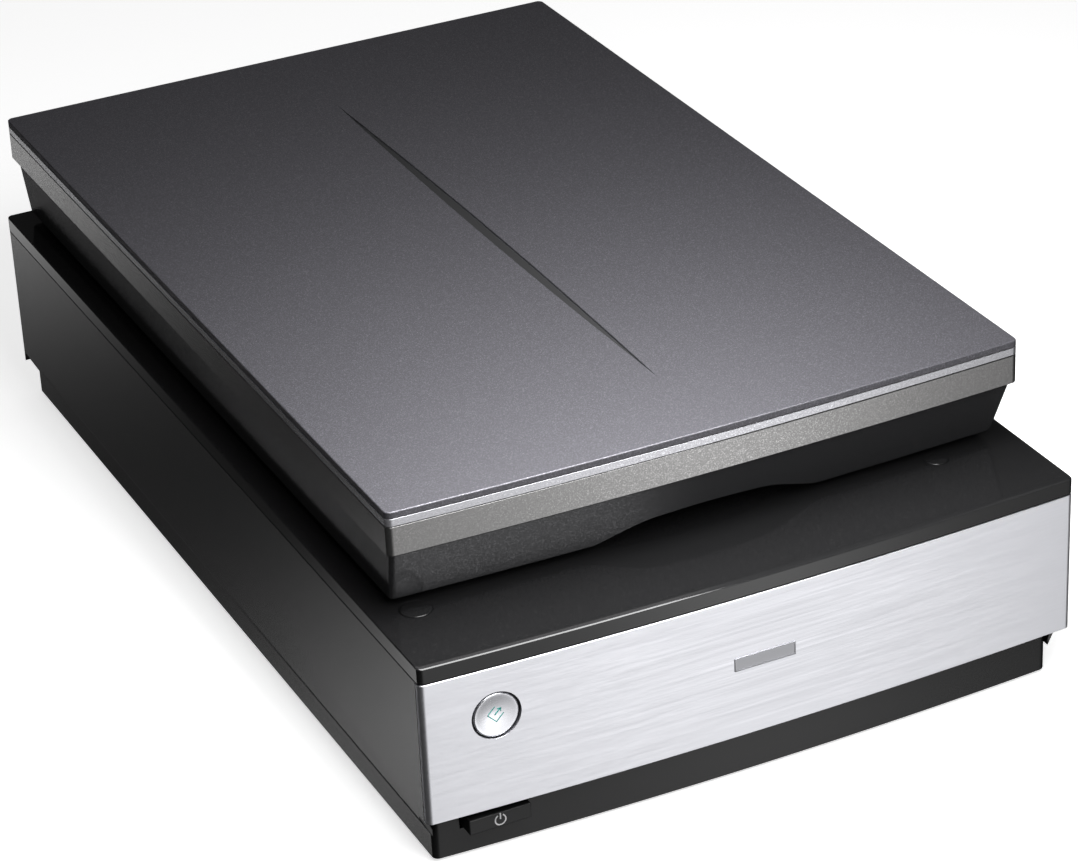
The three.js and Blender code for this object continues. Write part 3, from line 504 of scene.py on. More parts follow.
def surface(name, base, roughness, metallic=0.0, ior=1.5, specular=0.5):
    """New material and its tree, with the constant sockets set."""
    material = bpy.data.materials.new(name)
    material.use_nodes = True
    material.diffuse_color = (*base, 1.0)
    tree = material.node_tree
    shader = tree.nodes["Principled BSDF"]
    for socket, value in (("Base Color", (*base, 1.0)), ("Roughness", roughness),
                          ("Metallic", metallic), ("IOR", ior), ("Specular IOR Level", specular)):
        shader.inputs[socket].default_value = value
    return material, tree, shader


def bump(tree, shader, height, distance):
    node = place(tree, "ShaderNodeBump", {"Height": height, "Distance": distance, "Strength": 1.0})
    tree.links.new(node.outputs[0], shader.inputs["Normal"])


def moulded(name, base, roughness, scale=1500.0, depth=2e-5, contrast=0.3, dust=0.0, **extra):
    """Grained moulded plastic with a little wear along its edges."""
    material, tree, shader = surface(name, base, roughness, **extra)
    grain = use(tree, "grain", Scale=scale, Contrast=contrast)
    edge = use(tree, "edge", Width=0.0006)["Mask"]
    tone = math(tree, "ADD", grain["Tone"], 0.5, clamp=True)
    body = blend(tree, tone, scaled(base, 0.7), scaled(base, 1.35))
    worn = blend(tree, edge, body, scaled(base, 2.2))
    if dust:
        worn = blend(tree, use(tree, "dust", Amount=dust)["Mask"], worn, (0.35, 0.34, 0.33))
    tree.links.new(worn, shader.inputs["Base Color"])
    gloss = math(tree, "MULTIPLY", grain["Tone"], 0.25)
    tree.links.new(math(tree, "ADD", gloss, roughness, clamp=True), shader.inputs["Roughness"])
    bump(tree, shader, grain["Height"], depth)
    return material


def flaked(name, base, roughness, metallic, glint, scale=3200.0):
    """Metallic paint with visible flake."""
    material, tree, shader = surface(name, base, roughness, metallic)
    flake = use(tree, "flake", Scale=scale, Rarity=5.0)
    grain = use(tree, "grain", Scale=700.0, Contrast=0.3)
    tone = math(tree, "ADD", grain["Tone"], 0.5, clamp=True)
    body = blend(tree, tone, scaled(base, 0.85), scaled(base, 1.12))
    lit = blend(tree, flake["Flake"], body, scaled(base, glint))
    tree.links.new(lit, shader.inputs["Base Color"])
    gloss = math(tree, "MULTIPLY", flake["Flake"], -0.12)
    tree.links.new(math(tree, "ADD", gloss, roughness, clamp=True), shader.inputs["Roughness"])
    bump(tree, shader, flake["Height"], 3e-6)
    return material


def brushed(name, base, roughness, contrast=0.35, lines=1400.0, depth=2e-6):
    """Bare metal with straight brushing."""
    material, tree, shader = surface(name, base, roughness, 1.0)
    brush = use(tree, "brush", Lines=lines, Contrast=contrast)
    tone = math(tree, "ADD", brush["Tone"], 0.5, clamp=True)
    tree.links.new(blend(tree, tone, scaled(base, 0.88), scaled(base, 1.1)),
                   shader.inputs["Base Color"])
    gloss = math(tree, "MULTIPLY", brush["Tone"], 0.5)
    tree.links.new(math(tree, "ADD", gloss, roughness, clamp=True), shader.inputs["Roughness"])
    bump(tree, shader, brush["Height"], depth)
    return material


def build_materials(finish):
    tone = {key: tuple(getattr(finish, key)) for key in (
        "graphite", "silver", "grey", "black", "gloss", "charcoal", "aluminium", "icon")}
    MATERIALS.update(
        graphite=flaked("Graphite paint", tone["graphite"], 0.5, 0.7, 2.2),
        silver=flaked("Silver paint", tone["silver"], 0.24, 0.75, 1.3),
        grey=flaked("Grey paint", tone["grey"], 0.2, 0.9, 1.4),
        sparkle=flaked("Sparkle black", scaled(tone["black"], 6.0), 0.26, 0.7, 2.4, 2400.0),
        tray=moulded("Tray black", tone["black"], 0.2, 1500.0, 1e-5, specular=0.32),
        black=moulded("Grained black", tone["black"], 0.5, 1500.0, 2e-5),
        gloss=moulded("Gloss black", tone["gloss"], 0.1, 260.0, 1e-6, 0.1, dust=0.05,
                      specular=0.38),
        charcoal=moulded("Satin charcoal", tone["charcoal"], 0.17, 1800.0, 1e-5, ior=1.5),
        aluminium=brushed("Brushed aluminium", scaled(tone["aluminium"], 0.97), 0.38, 0.9,
                          lines=800.0),
        spun=brushed("Button metal", scaled(tone["aluminium"], 0.95), 0.28, 0.2),
        icon=moulded("Icon ink", tone["icon"], 0.4, 900.0, 1e-6, 0.2),
        badge=brushed("Badge metal", scaled(tone["aluminium"], 0.5), 0.4, 0.2),
        mark=moulded("Symbol ink", (0.55, 0.55, 0.56), 0.4, 900.0, 1e-6, 0.1),
        white=moulded("White plastic", (0.82, 0.82, 0.8), 0.45, 700.0, 1e-5, 0.15),
        rubber=moulded("Rubber", (0.015, 0.015, 0.015), 0.85, 900.0, 4e-5),
        steel=brushed("Ground steel", (0.5, 0.51, 0.53), 0.25),
        galvanised=brushed("Galvanised sheet", (0.42, 0.44, 0.46), 0.4),
        acetal=moulded("Acetal", (0.72, 0.69, 0.62), 0.35, 500.0, 5e-6, 0.1),
        bronze=brushed("Bronze", (0.5, 0.33, 0.14), 0.35),
        circuit=moulded("Circuit board", (0.015, 0.11, 0.05), 0.3, 300.0, 5e-6, 0.5),
        lamp=moulded("Light guide", (0.85, 0.85, 0.9), 0.25, 200.0, 2e-6, 0.1),
    )
    MATERIALS["mirror"] = brushed("Mirror", (0.9, 0.92, 0.94), 0.03, 0.02)
    MATERIALS["glass"] = clear_glass()


def clear_glass():
    material, tree, shader = surface("Platen glass", (0.9, 0.96, 0.94), 0.02, ior=1.52)
    shader.inputs["Transmission Weight"].default_value = 1.0
    dust = use(tree, "dust", Amount=0.15)["Mask"]
    tree.links.new(blend(tree, dust, (0.9, 0.96, 0.94), (0.7, 0.72, 0.72)),
                   shader.inputs["Base Color"])
    return material


# ---- Case ----

FEET = ("front_left", "front_right", "rear_left", "rear_right")

# Places of the sunk screws in the underside
UNDER_SCREWS = ((-0.055, -0.222), (0.055, -0.222), (-0.13, 0.02), (0.13, 0.02), (-0.06, 0.235),
                (0.06, 0.235))


def case_plan(case, side, front=None, rear=None):
    front = side if front is None else front
    rear = side if rear is None else rear
    return plan(case.half - side, case.front + front, case.rear - rear, case.bow,
                case.corner - side)


def build_frame(case):
    """Gloss frame with its soft front roll, platen opening, hinge sockets and lock hole."""
    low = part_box("top_frame")[0]
    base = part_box("side_panel_left")[1].z + 0.3 * MM
    rings = [level(case_plan(case, 0.15 * MM), base), level(case_plan(case, 0.0), base + 0.15 * MM)]
    shoulder = case.top - case.front_drop
    for i in range(9):
        turn = pi / 2 * i / 8
        rise = case.front_drop * sin(turn)
        side = 0.5 * MM * (1 - cos(turn))
        rings.append(level(
            case_plan(case, side, front=case.front_roll * (1 - cos(turn))), shoulder + rise))
    body = skin("gloss_frame", rings)
    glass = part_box("platen_glass")
    gap = 0.5 * MM
    tools = [
        block("t", -0.11, 0.11, -0.118, 0.186, 0.09, 0.11),
        block("t", glass[0].x - gap, glass[1].x + gap, glass[0].y - gap, glass[1].y + gap,
              0.09, glass[1].z + 0.3 * MM),
    ]
    for side in ("left", "right"):
        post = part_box(f"hinge_post_{side}")
        edge = 0.3 * MM
        tube = block("t", post[0].x - 2.7 * MM, post[1].x + 2.7 * MM, post[0].y - 2.7 * MM,
                     post[1].y + 2.7 * MM, low.z, base + MM)
        body = join(body, tube)
        tools.append(block("t", post[0].x - edge, post[1].x + edge, post[0].y - edge,
                           post[1].y + edge, 0.04, 0.11))
        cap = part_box(f"screw_cap_{side}")
        centre = middle(f"screw_cap_{side}")
        radius = (cap[1].x - cap[0].x) / 2 + edge
        tools.append(turned("t", [(radius, 0.0993), (radius, 0.11)], (centre.x, centre.y, 0)))
    lock = middle("carriage_lock")
    tools.append(turned("t", [(8.3 * MM, 0.09), (8.3 * MM, 0.11)], (lock.x, 0.06, 0)))
    cut(body, *tools)
    soften(body, 0.2 * MM)
    piece(body, "base", "gloss", "gloss_black", ["top_frame"])


def build_caps():
    """Two shallow round covers in the front corners of the frame."""
    for side in ("left", "right"):
        low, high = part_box(f"screw_cap_{side}")
        r = (high.x - low.x) / 2
        mid = (low + high) / 2
        profile = [(0, low.z), (r, low.z), (r, high.z - 0.6 * MM),
                   (r - 0.1 * MM, high.z - 0.45 * MM), (r - 0.35 * MM, high.z - 0.3 * MM),
                   (r * 0.85, high.z - 0.2 * MM), (r * 0.6, high.z - 0.08 * MM),
                   (r * 0.3, high.z - 0.02 * MM), (0, high.z)]
        cap = turned(f"frame_cap_{side}", profile, (mid.x, mid.y, 0))
        piece(cap, "base", "gloss", "gloss_black", [f"screw_cap_{side}"])


def build_fascia(case):
    """Folded brushed front: bowed face, rounded corners and short returns along the sides."""
    low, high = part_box("front_fascia")
    thick = 2 * MM
    outer = case_plan(case, 0.0)
    inner = case_plan(case, thick)
    corner_end = -244.7 * MM
    keep = [i for i, p in enumerate(outer) if p[1] <= corner_end + 1e-6]
    split = max(range(len(keep) - 1), key=lambda k: keep[k + 1] - keep[k], default=0)
    order = keep[split + 1:] + keep[:split + 1]
    back = -0.2436
    front = [(-case.half, back)] + [outer[i] for i in order] + [(case.half, back)]
    rear = ([(-case.half + thick, back)] + [inner[i] for i in order]
            + [(case.half - thick, back)])
    soft = 0.25 * MM
    heights = [low.z + soft + (high.z - low.z - 2 * soft) * i / 14 for i in range(15)]
    rings = []
    for (ox, oy), (ix, iy) in zip(front, rear):
        sx, sy = ox + (ix - ox) * soft / thick, oy + (iy - oy) * soft / thick
        rings.append([(sx, sy, low.z)] + [(ox, oy, z) for z in heights]
                     + [(sx, sy, high.z), (ix, iy, high.z), (ix, iy, low.z)])
    body = skin("brushed_front", rings)
    centre = middle("start_button")
    cut(body, turned("t", [(10.9 * MM, 0.235), (10.9 * MM, 0.26)], (centre.x, 0, centre.z), "Y"))
    soften(body, 0.2 * MM, limit=60)
    piece(body, "base", "aluminium", "brushed_aluminium", ["front_fascia"])


def build_badge(case):
    """Small blank plate in the middle of the front."""
    face = case.front - case.bow
    left, right, low, high = -14.2 * MM, 14.8 * MM, 58.4 * MM, 64.8 * MM
    plate = bevelled(left, right, face - 0.45 * MM, face + MM, low, high, 0.3 * MM)
    rim = 0.6 * MM
    cut(plate, block("t", left + rim, right - rim, face - MM, face - 0.25 * MM, low + rim,
                     high - rim))
    piece(plate, "base", "badge", "silver_paint")


def build_plinth(case):
    """Matt tray that the case stands on, with a notch for the power bar."""
    low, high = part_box("lower_case")
    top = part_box("power_button")[1].z + 4.1 * MM
    profile = rolled(low.z, top, 0.8 * MM, 0.3 * MM)
    half, front, rear = high.x, -237.6 * MM, high.y
    wall = 2.5 * MM
    rings = [level(plan(half - d, front + d, rear - d, case.bow, 3 * MM - d), z)
             for d, z in profile]
    body = skin("plinth_tray", rings)
    hollow = plan(half - wall, front + wall, rear - wall, case.bow, 2.2 * MM)
    inner = skin("t", [level(hollow, z) for z in (4 * MM, top + MM)])
    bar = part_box("power_button")
    notch = block("t", bar[0].x - MM, bar[1].x + MM, -0.25, -0.225, bar[0].z - 0.8 * MM, top + MM)
    cut(body, inner, notch)
    for foot in FEET:
        mid = middle(f"rubber_foot_{foot}")
        cut(body, turned("t", [(9.3 * MM, 0), (9.3 * MM, 2.8 * MM)], (mid.x, mid.y, 0)))
    for x, y in UNDER_SCREWS:
        cut(body, turned("t", [(4.4 * MM, 0), (4.4 * MM, 3.3 * MM)], (x, y, 0), sides=32))
    rod = middle("guide_rod")
    x, z = rod.x, rod.z
    for y0, y1 in ((-0.229, -0.216), (0.234, 0.245)):
        cradle = block("t", x - 0.012, x + 0.012, y0, y1, 3 * MM, z + 7 * MM)
        join(body, cut(cradle, turned("t", [(4.3 * MM, -0.25), (4.3 * MM, 0.25)], (x, 0, z), "Y")))
    mid = middle("reduction_gear")
    join(body, turned("t", [(6 * MM, 3 * MM), (6 * MM, 22.5 * MM), (2 * MM, 22.5 * MM),
                            (2 * MM, 40.4 * MM)], (mid.x, mid.y, 0), sides=32))
    soften(body, 0.3 * MM)
    piece(body, "base", "tray", "matt_black", ["lower_case"])


def build_sides():
    """Side panels that turn in to the plinth."""
    for name, side in (("left", -1), ("right", 1)):
        low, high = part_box(f"side_panel_{name}")
        outer = max(abs(low.x), abs(high.x))
        foot = 148.6 * MM
        section = [(outer, high.z), (outer, 25 * MM), (foot, 14.2 * MM), (foot, 17.6 * MM),
                   (outer - 2.4 * MM, 26 * MM), (outer - 2.4 * MM, high.z)]
        body = prism(f"case_side_{name}", [(side * x, z) for x, z in section], "Y", low.y, high.y)
        cut(body, block("t", -0.16, 0.16, -0.26, -0.2385, 0, 26.2 * MM))
        soften(body, 0.35 * MM, 3)
        piece(body, "base", "charcoal", "satin_charcoal", [f"side_panel_{name}"])


def build_button():
    """Dished round start button with a thin icon: a tray with an arrow out of it."""
    low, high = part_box("start_button")
    mid = (low + high) / 2
    r = (high.x - low.x) / 2
    face = -low.y
    profile = [(0, -high.y), (3 * MM, -high.y), (3 * MM, 0.242), (r, 0.242), (r, face - 0.7 * MM)]
    for i in range(1, 7):
        turn = pi / 2 * i / 6
        profile.append((r - 0.7 * MM * (1 - cos(turn)), face - 0.7 * MM * (1 - sin(turn))))
    for i in range(1, 9):
        t = i / 8
        profile.append(((r - 0.7 * MM) * (1 - t), face - 0.9 * MM * sin(pi / 2 * t)))
    cap = turned("start_cap", profile, (mid.x, 0, mid.z), "Y")
    piece(cap, BODY["start_button"], "spun", "brushed_aluminium", ["start_button"], smooth=50)
    y = low.y + 0.82 * MM
    strokes = [((-2.7, 2.2), (-2.7, -2.4)), ((-2.7, -2.4), (2.7, -2.4)), ((2.7, -2.4), (2.7, 2.2)),
               ((0, -0.4), (0, 3.3)), ((0, 3.4), (-0.9, 2.3)), ((0, 3.4), (0.9, 2.3))]
    draw("start_icon", strokes, (mid.x, y, mid.z), 0.2 * MM, -45, BODY["start_button"], "icon")


def draw(name, strokes, centre, half, lean, body, finish, arcs=()):
    """Thin raised line drawing on a face that looks towards -Y."""
    shape = bmesh.new()
    lines = [[a, b] for a, b in strokes]
    for radius, start, end, steps in arcs:
        lines.append([(radius * cos(radians(start + (end - start) * i / steps)),
                       radius * sin(radians(start + (end - start) * i / steps)))
                      for i in range(steps + 1)])
    tilt = radians(lean)
    for line in lines:
        points = [(x * cos(tilt) - z * sin(tilt), x * sin(tilt) + z * cos(tilt)) for x, z in line]
        sides = []
        for i, (x, z) in enumerate(points):
            before = points[max(i - 1, 0)]
            after = points[min(i + 1, len(points) - 1)]
            along = Vector((after[0] - before[0], after[1] - before[1])).normalized()
            end = 0.0
            if i == 0:
                end = -half / MM
            if i == len(points) - 1:
                end = half / MM
            x, z = x + along.x * end, z + along.y * end
            across = Vector((-along.y, along.x)) * half / MM
            sides.append([(x + across.x * s, z + across.y * s) for s in (-1, 1)])
        rows = []
        for left, right in sides:
            row = []
            for (x, z), depth in ((left, 0.3), (left, 0.0), (right, 0.0), (right, 0.3)):
                row.append(shape.verts.new((centre[0] + x * MM, centre[1] + (depth - 0.12) * MM,
                                            centre[2] + z * MM)))
            rows.append(row)
        for a, b in zip(rows, rows[1:]):
            for k in range(4):
                shape.faces.new((a[k], a[(k + 1) % 4], b[(k + 1) % 4], b[k]))
        shape.faces.new(rows[0])
        shape.faces.new(list(reversed(rows[-1])))
    bmesh.ops.recalc_face_normals(shape, faces=shape.faces)
    mesh = bpy.data.meshes.new(name)
    shape.to_mesh(mesh)
    shape.free()
    piece(new_object(name, mesh), body, finish)


def build_power():
    """Power bar with a raised stand-by symbol."""
    low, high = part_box("power_button")
    bar = block("power_bar", low.x, high.x, low.y, -0.232, low.z, high.z)
    join(bar, block("t", -0.125, -0.118, -0.233, high.y, low.z + MM, high.z - MM))
    soften(bar, 0.45 * MM, 3)
    piece(bar, BODY["power_button"], "black", "gloss_black", ["power_button"])
    centre = (-0.1215, low.y - 0.02 * MM, (low.z + high.z) / 2)
    draw("power_symbol", [((0, 0.6), (0, 2.9))], centre, 0.28 * MM, 0,
         BODY["power_button"], "mark", arcs=[(2.4, 125, 415, 28)])


def build_feet():
    """Rubber feet with a rolled rim."""
    for foot in FEET:
        low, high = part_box(f"rubber_foot_{foot}")
        r = (high.x - low.x) / 2
        mid = (low + high) / 2
        profile = [(0, 0.0)] + [(r - 0.7 * MM + 0.7 * MM * sin(t), 0.7 * MM * (1 - cos(t)))
                                for t in (0, 0.4, 0.8, 1.2, pi / 2)] + [(r, high.z), (0, high.z)]
        body = turned(f"foot_{foot}", profile, (mid.x, mid.y, 0))
        piece(body, "base", "rubber", "rubber", [f"rubber_foot_{foot}"])


def build_underside():
    """Sunk screws and a blank rating plate under the plinth."""
    screws = [screw((x, y, 3.3 * MM), (0, 0, -1)) for x, y in UNDER_SCREWS]
    piece(gather("underside_screws", screws), "base", "steel", "steel")
    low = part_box("lower_case")[0].z
    plate = bevelled(-0.045, 0.045, 0.05, 0.105, low - 0.25 * MM, low + 0.4 * MM, 0.15 * MM,
                     name="rating_plate")
    piece(plate, "base", "galvanised", "galvanised")


def build_rear():
    """Screws in the rear panel, and the contacts inside its three ports."""
    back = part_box("rear_panel")[1].y
    seats = [(side * 0.146, z) for side in (-1, 1) for z in (0.036, 0.084)] + [(-0.03, 0.084)]
    screws = [screw((x, back, z), (0, 1, 0), 2.3 * MM) for x, z in seats]
    piece(gather("rear_screws", screws), "base", "steel", "steel")
    power = middle("power_inlet")
    pin = turned("inlet_pin", [(0, -0.2488), (0.7 * MM, -0.2488), (MM, -0.2483), (MM, -0.2403),
                               (0, -0.2403)], (power.x, 0, power.z), "Y", 32)
    piece(pin, "base", "steel", "steel")
    usb = middle("usb_port")
    shell = bevelled(usb.x - 4.7 * MM, usb.x + 4.7 * MM, 0.2404, 0.2502, usb.z - 4.2 * MM,
                     usb.z + 4.2 * MM, 0.6 * MM, name="usb_shell")
    cut(shell, bevelled(usb.x - 4.3 * MM, usb.x + 4.3 * MM, 0.2412, 0.26, usb.z - 3.8 * MM,
                        usb.z + 3.8 * MM, 0.4 * MM))
    piece(shell, "base", "steel", "steel")
    tongue = bevelled(usb.x - 2.8 * MM, usb.x + 2.8 * MM, 0.2413, 0.2486, usb.z - 1.6 * MM,
                      usb.z + 1.6 * MM, name="usb_tongue")
    piece(tongue, "base", "white", "white_plastic")
    bars = [bevelled(usb.x + x * MM - 0.4 * MM, usb.x + x * MM + 0.4 * MM, 0.2416, 0.248,
                     usb.z + z * 1.6 * MM - 0.12 * MM, usb.z + z * 1.6 * MM + 0.12 * MM, 0.05 * MM)
            for x in (-1.25, 1.25) for z in (-1, 1)]
    piece(gather("usb_contacts", bars), "base", "bronze", "bronze")
    lamp = middle("lid_cable_port")
    insert = bevelled(lamp.x - 6.6 * MM, lamp.x + 6.6 * MM, 0.2403, 0.247, lamp.z - 2.6 * MM,
                      lamp.z + 2.6 * MM, 0.5 * MM, name="lamp_socket_core")
    piece(insert, "base", "white", "white_plastic")
    pins = [turned("t", [(0, -0.2492), (0.25 * MM, -0.2492), (0.4 * MM, -0.2488),
                         (0.4 * MM, -0.2465), (0, -0.2465)],
                   (lamp.x + (i - 3) * 1.8 * MM, 0, lamp.z + z * 1.2 * MM), "Y", 12)
            for i in range(7) for z in (-1, 1)]
    piece(gather("lamp_socket_pins", pins), "base", "bronze", "bronze")


def build_marks(case):
    """Corner arrow and a rule of short lines printed beside the glass."""
    deck = case.top
    marks = []
    for i in range(29):
        long = 2.4 if i % 5 else 4.0
        y = (-110 + 10 * i) * MM
        marks.append(block("t", -0.1115 - long * MM, -0.1115, y - 0.15 * MM, y + 0.15 * MM,
                           deck - 0.1 * MM, deck + 0.05 * MM))
    for i in range(21):
        long = 2.4 if i % 5 else 4.0
        x = (-100 + 10 * i) * MM
        marks.append(block("t", x - 0.15 * MM, x + 0.15 * MM, -0.1195 - long * MM, -0.1195,
                           deck - 0.1 * MM, deck + 0.05 * MM))
    arrow = [(-116.5, 197.0), (-112.5, 190.0), (-120.5, 190.0)]
    marks.append(prism("t", [(x * MM, y * MM) for x, y in arrow], "Z", deck - 0.1 * MM,
                       deck + 0.05 * MM))
    piece(gather("edge_rule", marks), "base", "mark", "white_plastic")


def build_board():
    """Main board with chips, cans, a cable socket and rows of small parts."""
    low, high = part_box("main_board")
    under, deck = 9 * MM, 10.6 * MM
    board = bevelled(low.x, high.x, low.y, high.y, under, deck, 0.1 * MM, name="board_panel")
    corners = [(x, y) for x in (low.x + 4 * MM, high.x - 4 * MM)
               for y in (low.y + 4 * MM, high.y - 4 * MM)]
    for x, y in corners:
        join(board, turned("t", [(3 * MM, low.z), (3 * MM, under + 0.2 * MM)], (x, y, 0), sides=24))
    piece(board, "base", "circuit", "circuit", ["main_board"])
    screws = [screw((x, y, deck), (0, 0, 1), 2.4 * MM) for x, y in corners]
    piece(gather("board_screws", screws), "base", "steel", "steel")
    bodies, legs = [], []
    for x, y, w, h in ((-40, 20, 28, 2.5), (-15, 55, 14, 2), (-60, 70, 16, 2), (-20, -15, 12, 2)):
        half = w / 2
        bodies.append(bevelled((x - half) * MM, (x + half) * MM, (y - half) * MM, (y + half) * MM,
                               deck + 0.3 * MM, deck + h * MM, 0.3 * MM))
        count = int(w / 1.6)
        for i in range(count):
            t = (i - (count - 1) / 2) * 1.3
            for side in (-1, 1):
                a, b = sorted((side * (half - 0.2), side * (half + 1.2)))
                legs.append(block("t", (x + a) * MM, (x + b) * MM, (y + t - 0.25) * MM,
                                  (y + t + 0.25) * MM, deck, deck + 0.7 * MM))
                legs.append(block("t", (x + t - 0.25) * MM, (x + t + 0.25) * MM, (y + a) * MM,
                                  (y + b) * MM, deck, deck + 0.7 * MM))
    piece(gather("board_chips", bodies), "base", "black", "matt_black")
    piece(gather("chip_legs", legs), "base", "steel", "steel")
    cans, tops = [], []
    for x in (-66, -52, -38):
        centre = (x * MM, low.y + 18 * MM, 0)
        sleeve = [(5 * MM, deck), (5 * MM, deck + 0.8 * MM), (4.7 * MM, deck + 1.2 * MM),
                  (5 * MM, deck + 1.6 * MM), (5 * MM, high.z - 0.6 * MM),
                  (4.4 * MM, high.z - 0.1 * MM)]
        cans.append(turned("t", sleeve, centre, sides=40))
        tops.append(turned("t", [(4.3 * MM, high.z - 0.6 * MM), (4.3 * MM, high.z - 0.15 * MM),
                                 (4.0 * MM, high.z)], centre, sides=40))
    piece(gather("can_sleeves", cans), "base", "charcoal", "satin_charcoal")
    piece(gather("can_tops", tops), "base", "steel", "steel")
    socket = bevelled(-0.07, -0.03, high.y - 14 * MM, high.y - 6 * MM, deck, deck + 6 * MM,
                      0.4 * MM, name="board_socket")
    cut(socket, block("t", -0.068, -0.032, high.y - 11 * MM, high.y - 9 * MM, deck + 2 * MM,
                      deck + 7 * MM))
    piece(socket, "base", "white", "white_plastic")
    small = []
    for row, (x0, y0, step, count) in enumerate((
            (-72, 100, 3.2, 8), (-10, 84, 3.2, 5), (-68, 42, 3.6, 4), (-8, 20, 3.6, 4),
            (-58, -8, 3.0, 9), (-34, 95, 3.2, 9), (-26, -38, 3.4, 8))):
        for i in range(count):
            x, y = x0 + (i * step if row % 2 == 0 else 0), y0 - (0 if row % 2 == 0 else i * step)
            small.append(bevelled((x - 0.5) * MM, (x + 0.5) * MM, (y - 0.9) * MM, (y + 0.9) * MM,
                                  deck, deck + 0.7 * MM, 0.1 * MM))
    piece(gather("board_small_parts", small), "base", "acetal", "acetal")


def build_carriage():
    """Screws, and a flat-cable socket with its latch, on the carriage."""
    low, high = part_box("carriage_housing")
    seats = [(side * 0.112, y) for side in (-1, 1) for y in (low.y + 8 * MM, high.y - 8 * MM)]
    screws = [screw((x, y, high.z), (0, 0, 1), 2.3 * MM) for x, y in seats]
    piece(gather("carriage_screws", screws), "scan_carriage", "steel", "steel")
    socket = bevelled(-0.032, 0.004, low.y - 4.5 * MM, low.y + 0.5 * MM, 0.06, 0.066, 0.4 * MM,
                      name="carriage_cable_socket")
    cut(socket, block("t", -0.030, 0.002, low.y - 6 * MM, low.y - 2 * MM, 0.0624, 0.0636))
    piece(socket, "scan_carriage", "white", "white_plastic")
    latch = bevelled(-0.0335, 0.0055, low.y - 5.4 * MM, low.y - 3.4 * MM, 0.0662, 0.0676, 0.3 * MM,
                     name="cable_latch")
    piece(latch, "scan_carriage", "black", "matt_black")


def build_lid_inside():
    """Bumpers under the lid and the diffuser of the film lamp."""
    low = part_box("lid_lower_cover")[0].z
    bumpers = []
    for x, y in ((-0.136, -0.176), (0.136, -0.176), (-0.136, 0.226), (0.136, 0.226)):
        r = 4 * MM
        bumpers.append(turned("t", [(r - MM, low - 3.3 * MM), (r - 0.3 * MM, low - 3 * MM),
                                    (r, low - 2.2 * MM), (r, low + 0.4 * MM)], (x, y, 0), sides=32))
    piece(gather("lid_bumpers", bumpers), "lid", "rubber", "rubber")
    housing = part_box("film_lamp_housing")[0].z
    strip = bevelled(-0.1, 0.1, 0.183, 0.197, housing - 0.7 * MM, housing + 0.3 * MM, 0.3 * MM,
                     name="film_lamp_diffuser")
    piece(strip, "film_lamp", "lamp", "lamp_white")


# ---- Lid ----

def lid_plan(lid, inset):
    return plan(lid.half - inset, lid.front + inset, lid.rear - inset, lid.bow, lid.corner - inset)


def groove_plan(lid, widen=0.0, steps=48):
    points = []
    for side in (1, -1):
        for i in range(steps):
            t = (2 * i / steps - 1) * side
            points.append((side * (lid.groove_width + widen) * (1 - t * t),
                           8.3 * MM + (lid.groove + widen) * t))
    return points


def build_lid_top(lid):
    """Painted top plate with a rolled edge and a long lens-shaped groove."""
    low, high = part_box("lid_top_cover")
    rings = [level(lid_plan(lid, d), z) for d, z in rolled(low.z, high.z, 0.15 * MM, lid.edge)]
    body = skin("lid_plate", rings)
    cut(body, skin("t", [level(groove_plan(lid), z) for z in (high.z - 1.2 * MM, high.z + MM)]))
    soften(body, 0.25 * MM, 3)
    piece(body, "lid", "graphite", "graphite_paint", ["lid_top_cover"])
    # Matt black sheet on the groove's floor: painted shade that makes the groove read dark
    shade_sheet = skin("groove_shade_sheet", [level(groove_plan(lid, -0.3 * MM), z)
                                  for z in (high.z - 1.25 * MM, high.z - 0.9 * MM)])
    piece(shade_sheet, "lid", "black", "matt_black")


def ring(name, node, lid, inner, edge, finish, slot):
    """Closed band round the lid."""
    low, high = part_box(node)
    outer = rolled(low.z, high.z, edge, edge)
    profile = outer + [(inner, high.z), (inner, low.z)]
    rings = [level(lid_plan(lid, d), z) for d, z in profile]
    piece(skin(name, rings, closed=True), "lid", finish, slot, [node])


def build_lid_bands(lid):
    """Light strip and grey band round the lid."""
    ring("lid_strip", "lid_trim_strip", lid, 5 * MM, 0.25 * MM, "silver", "silver_paint")
    ring("lid_side_band", "lid_band", lid, 2.5 * MM, 0.25 * MM, "grey", "grey_paint")


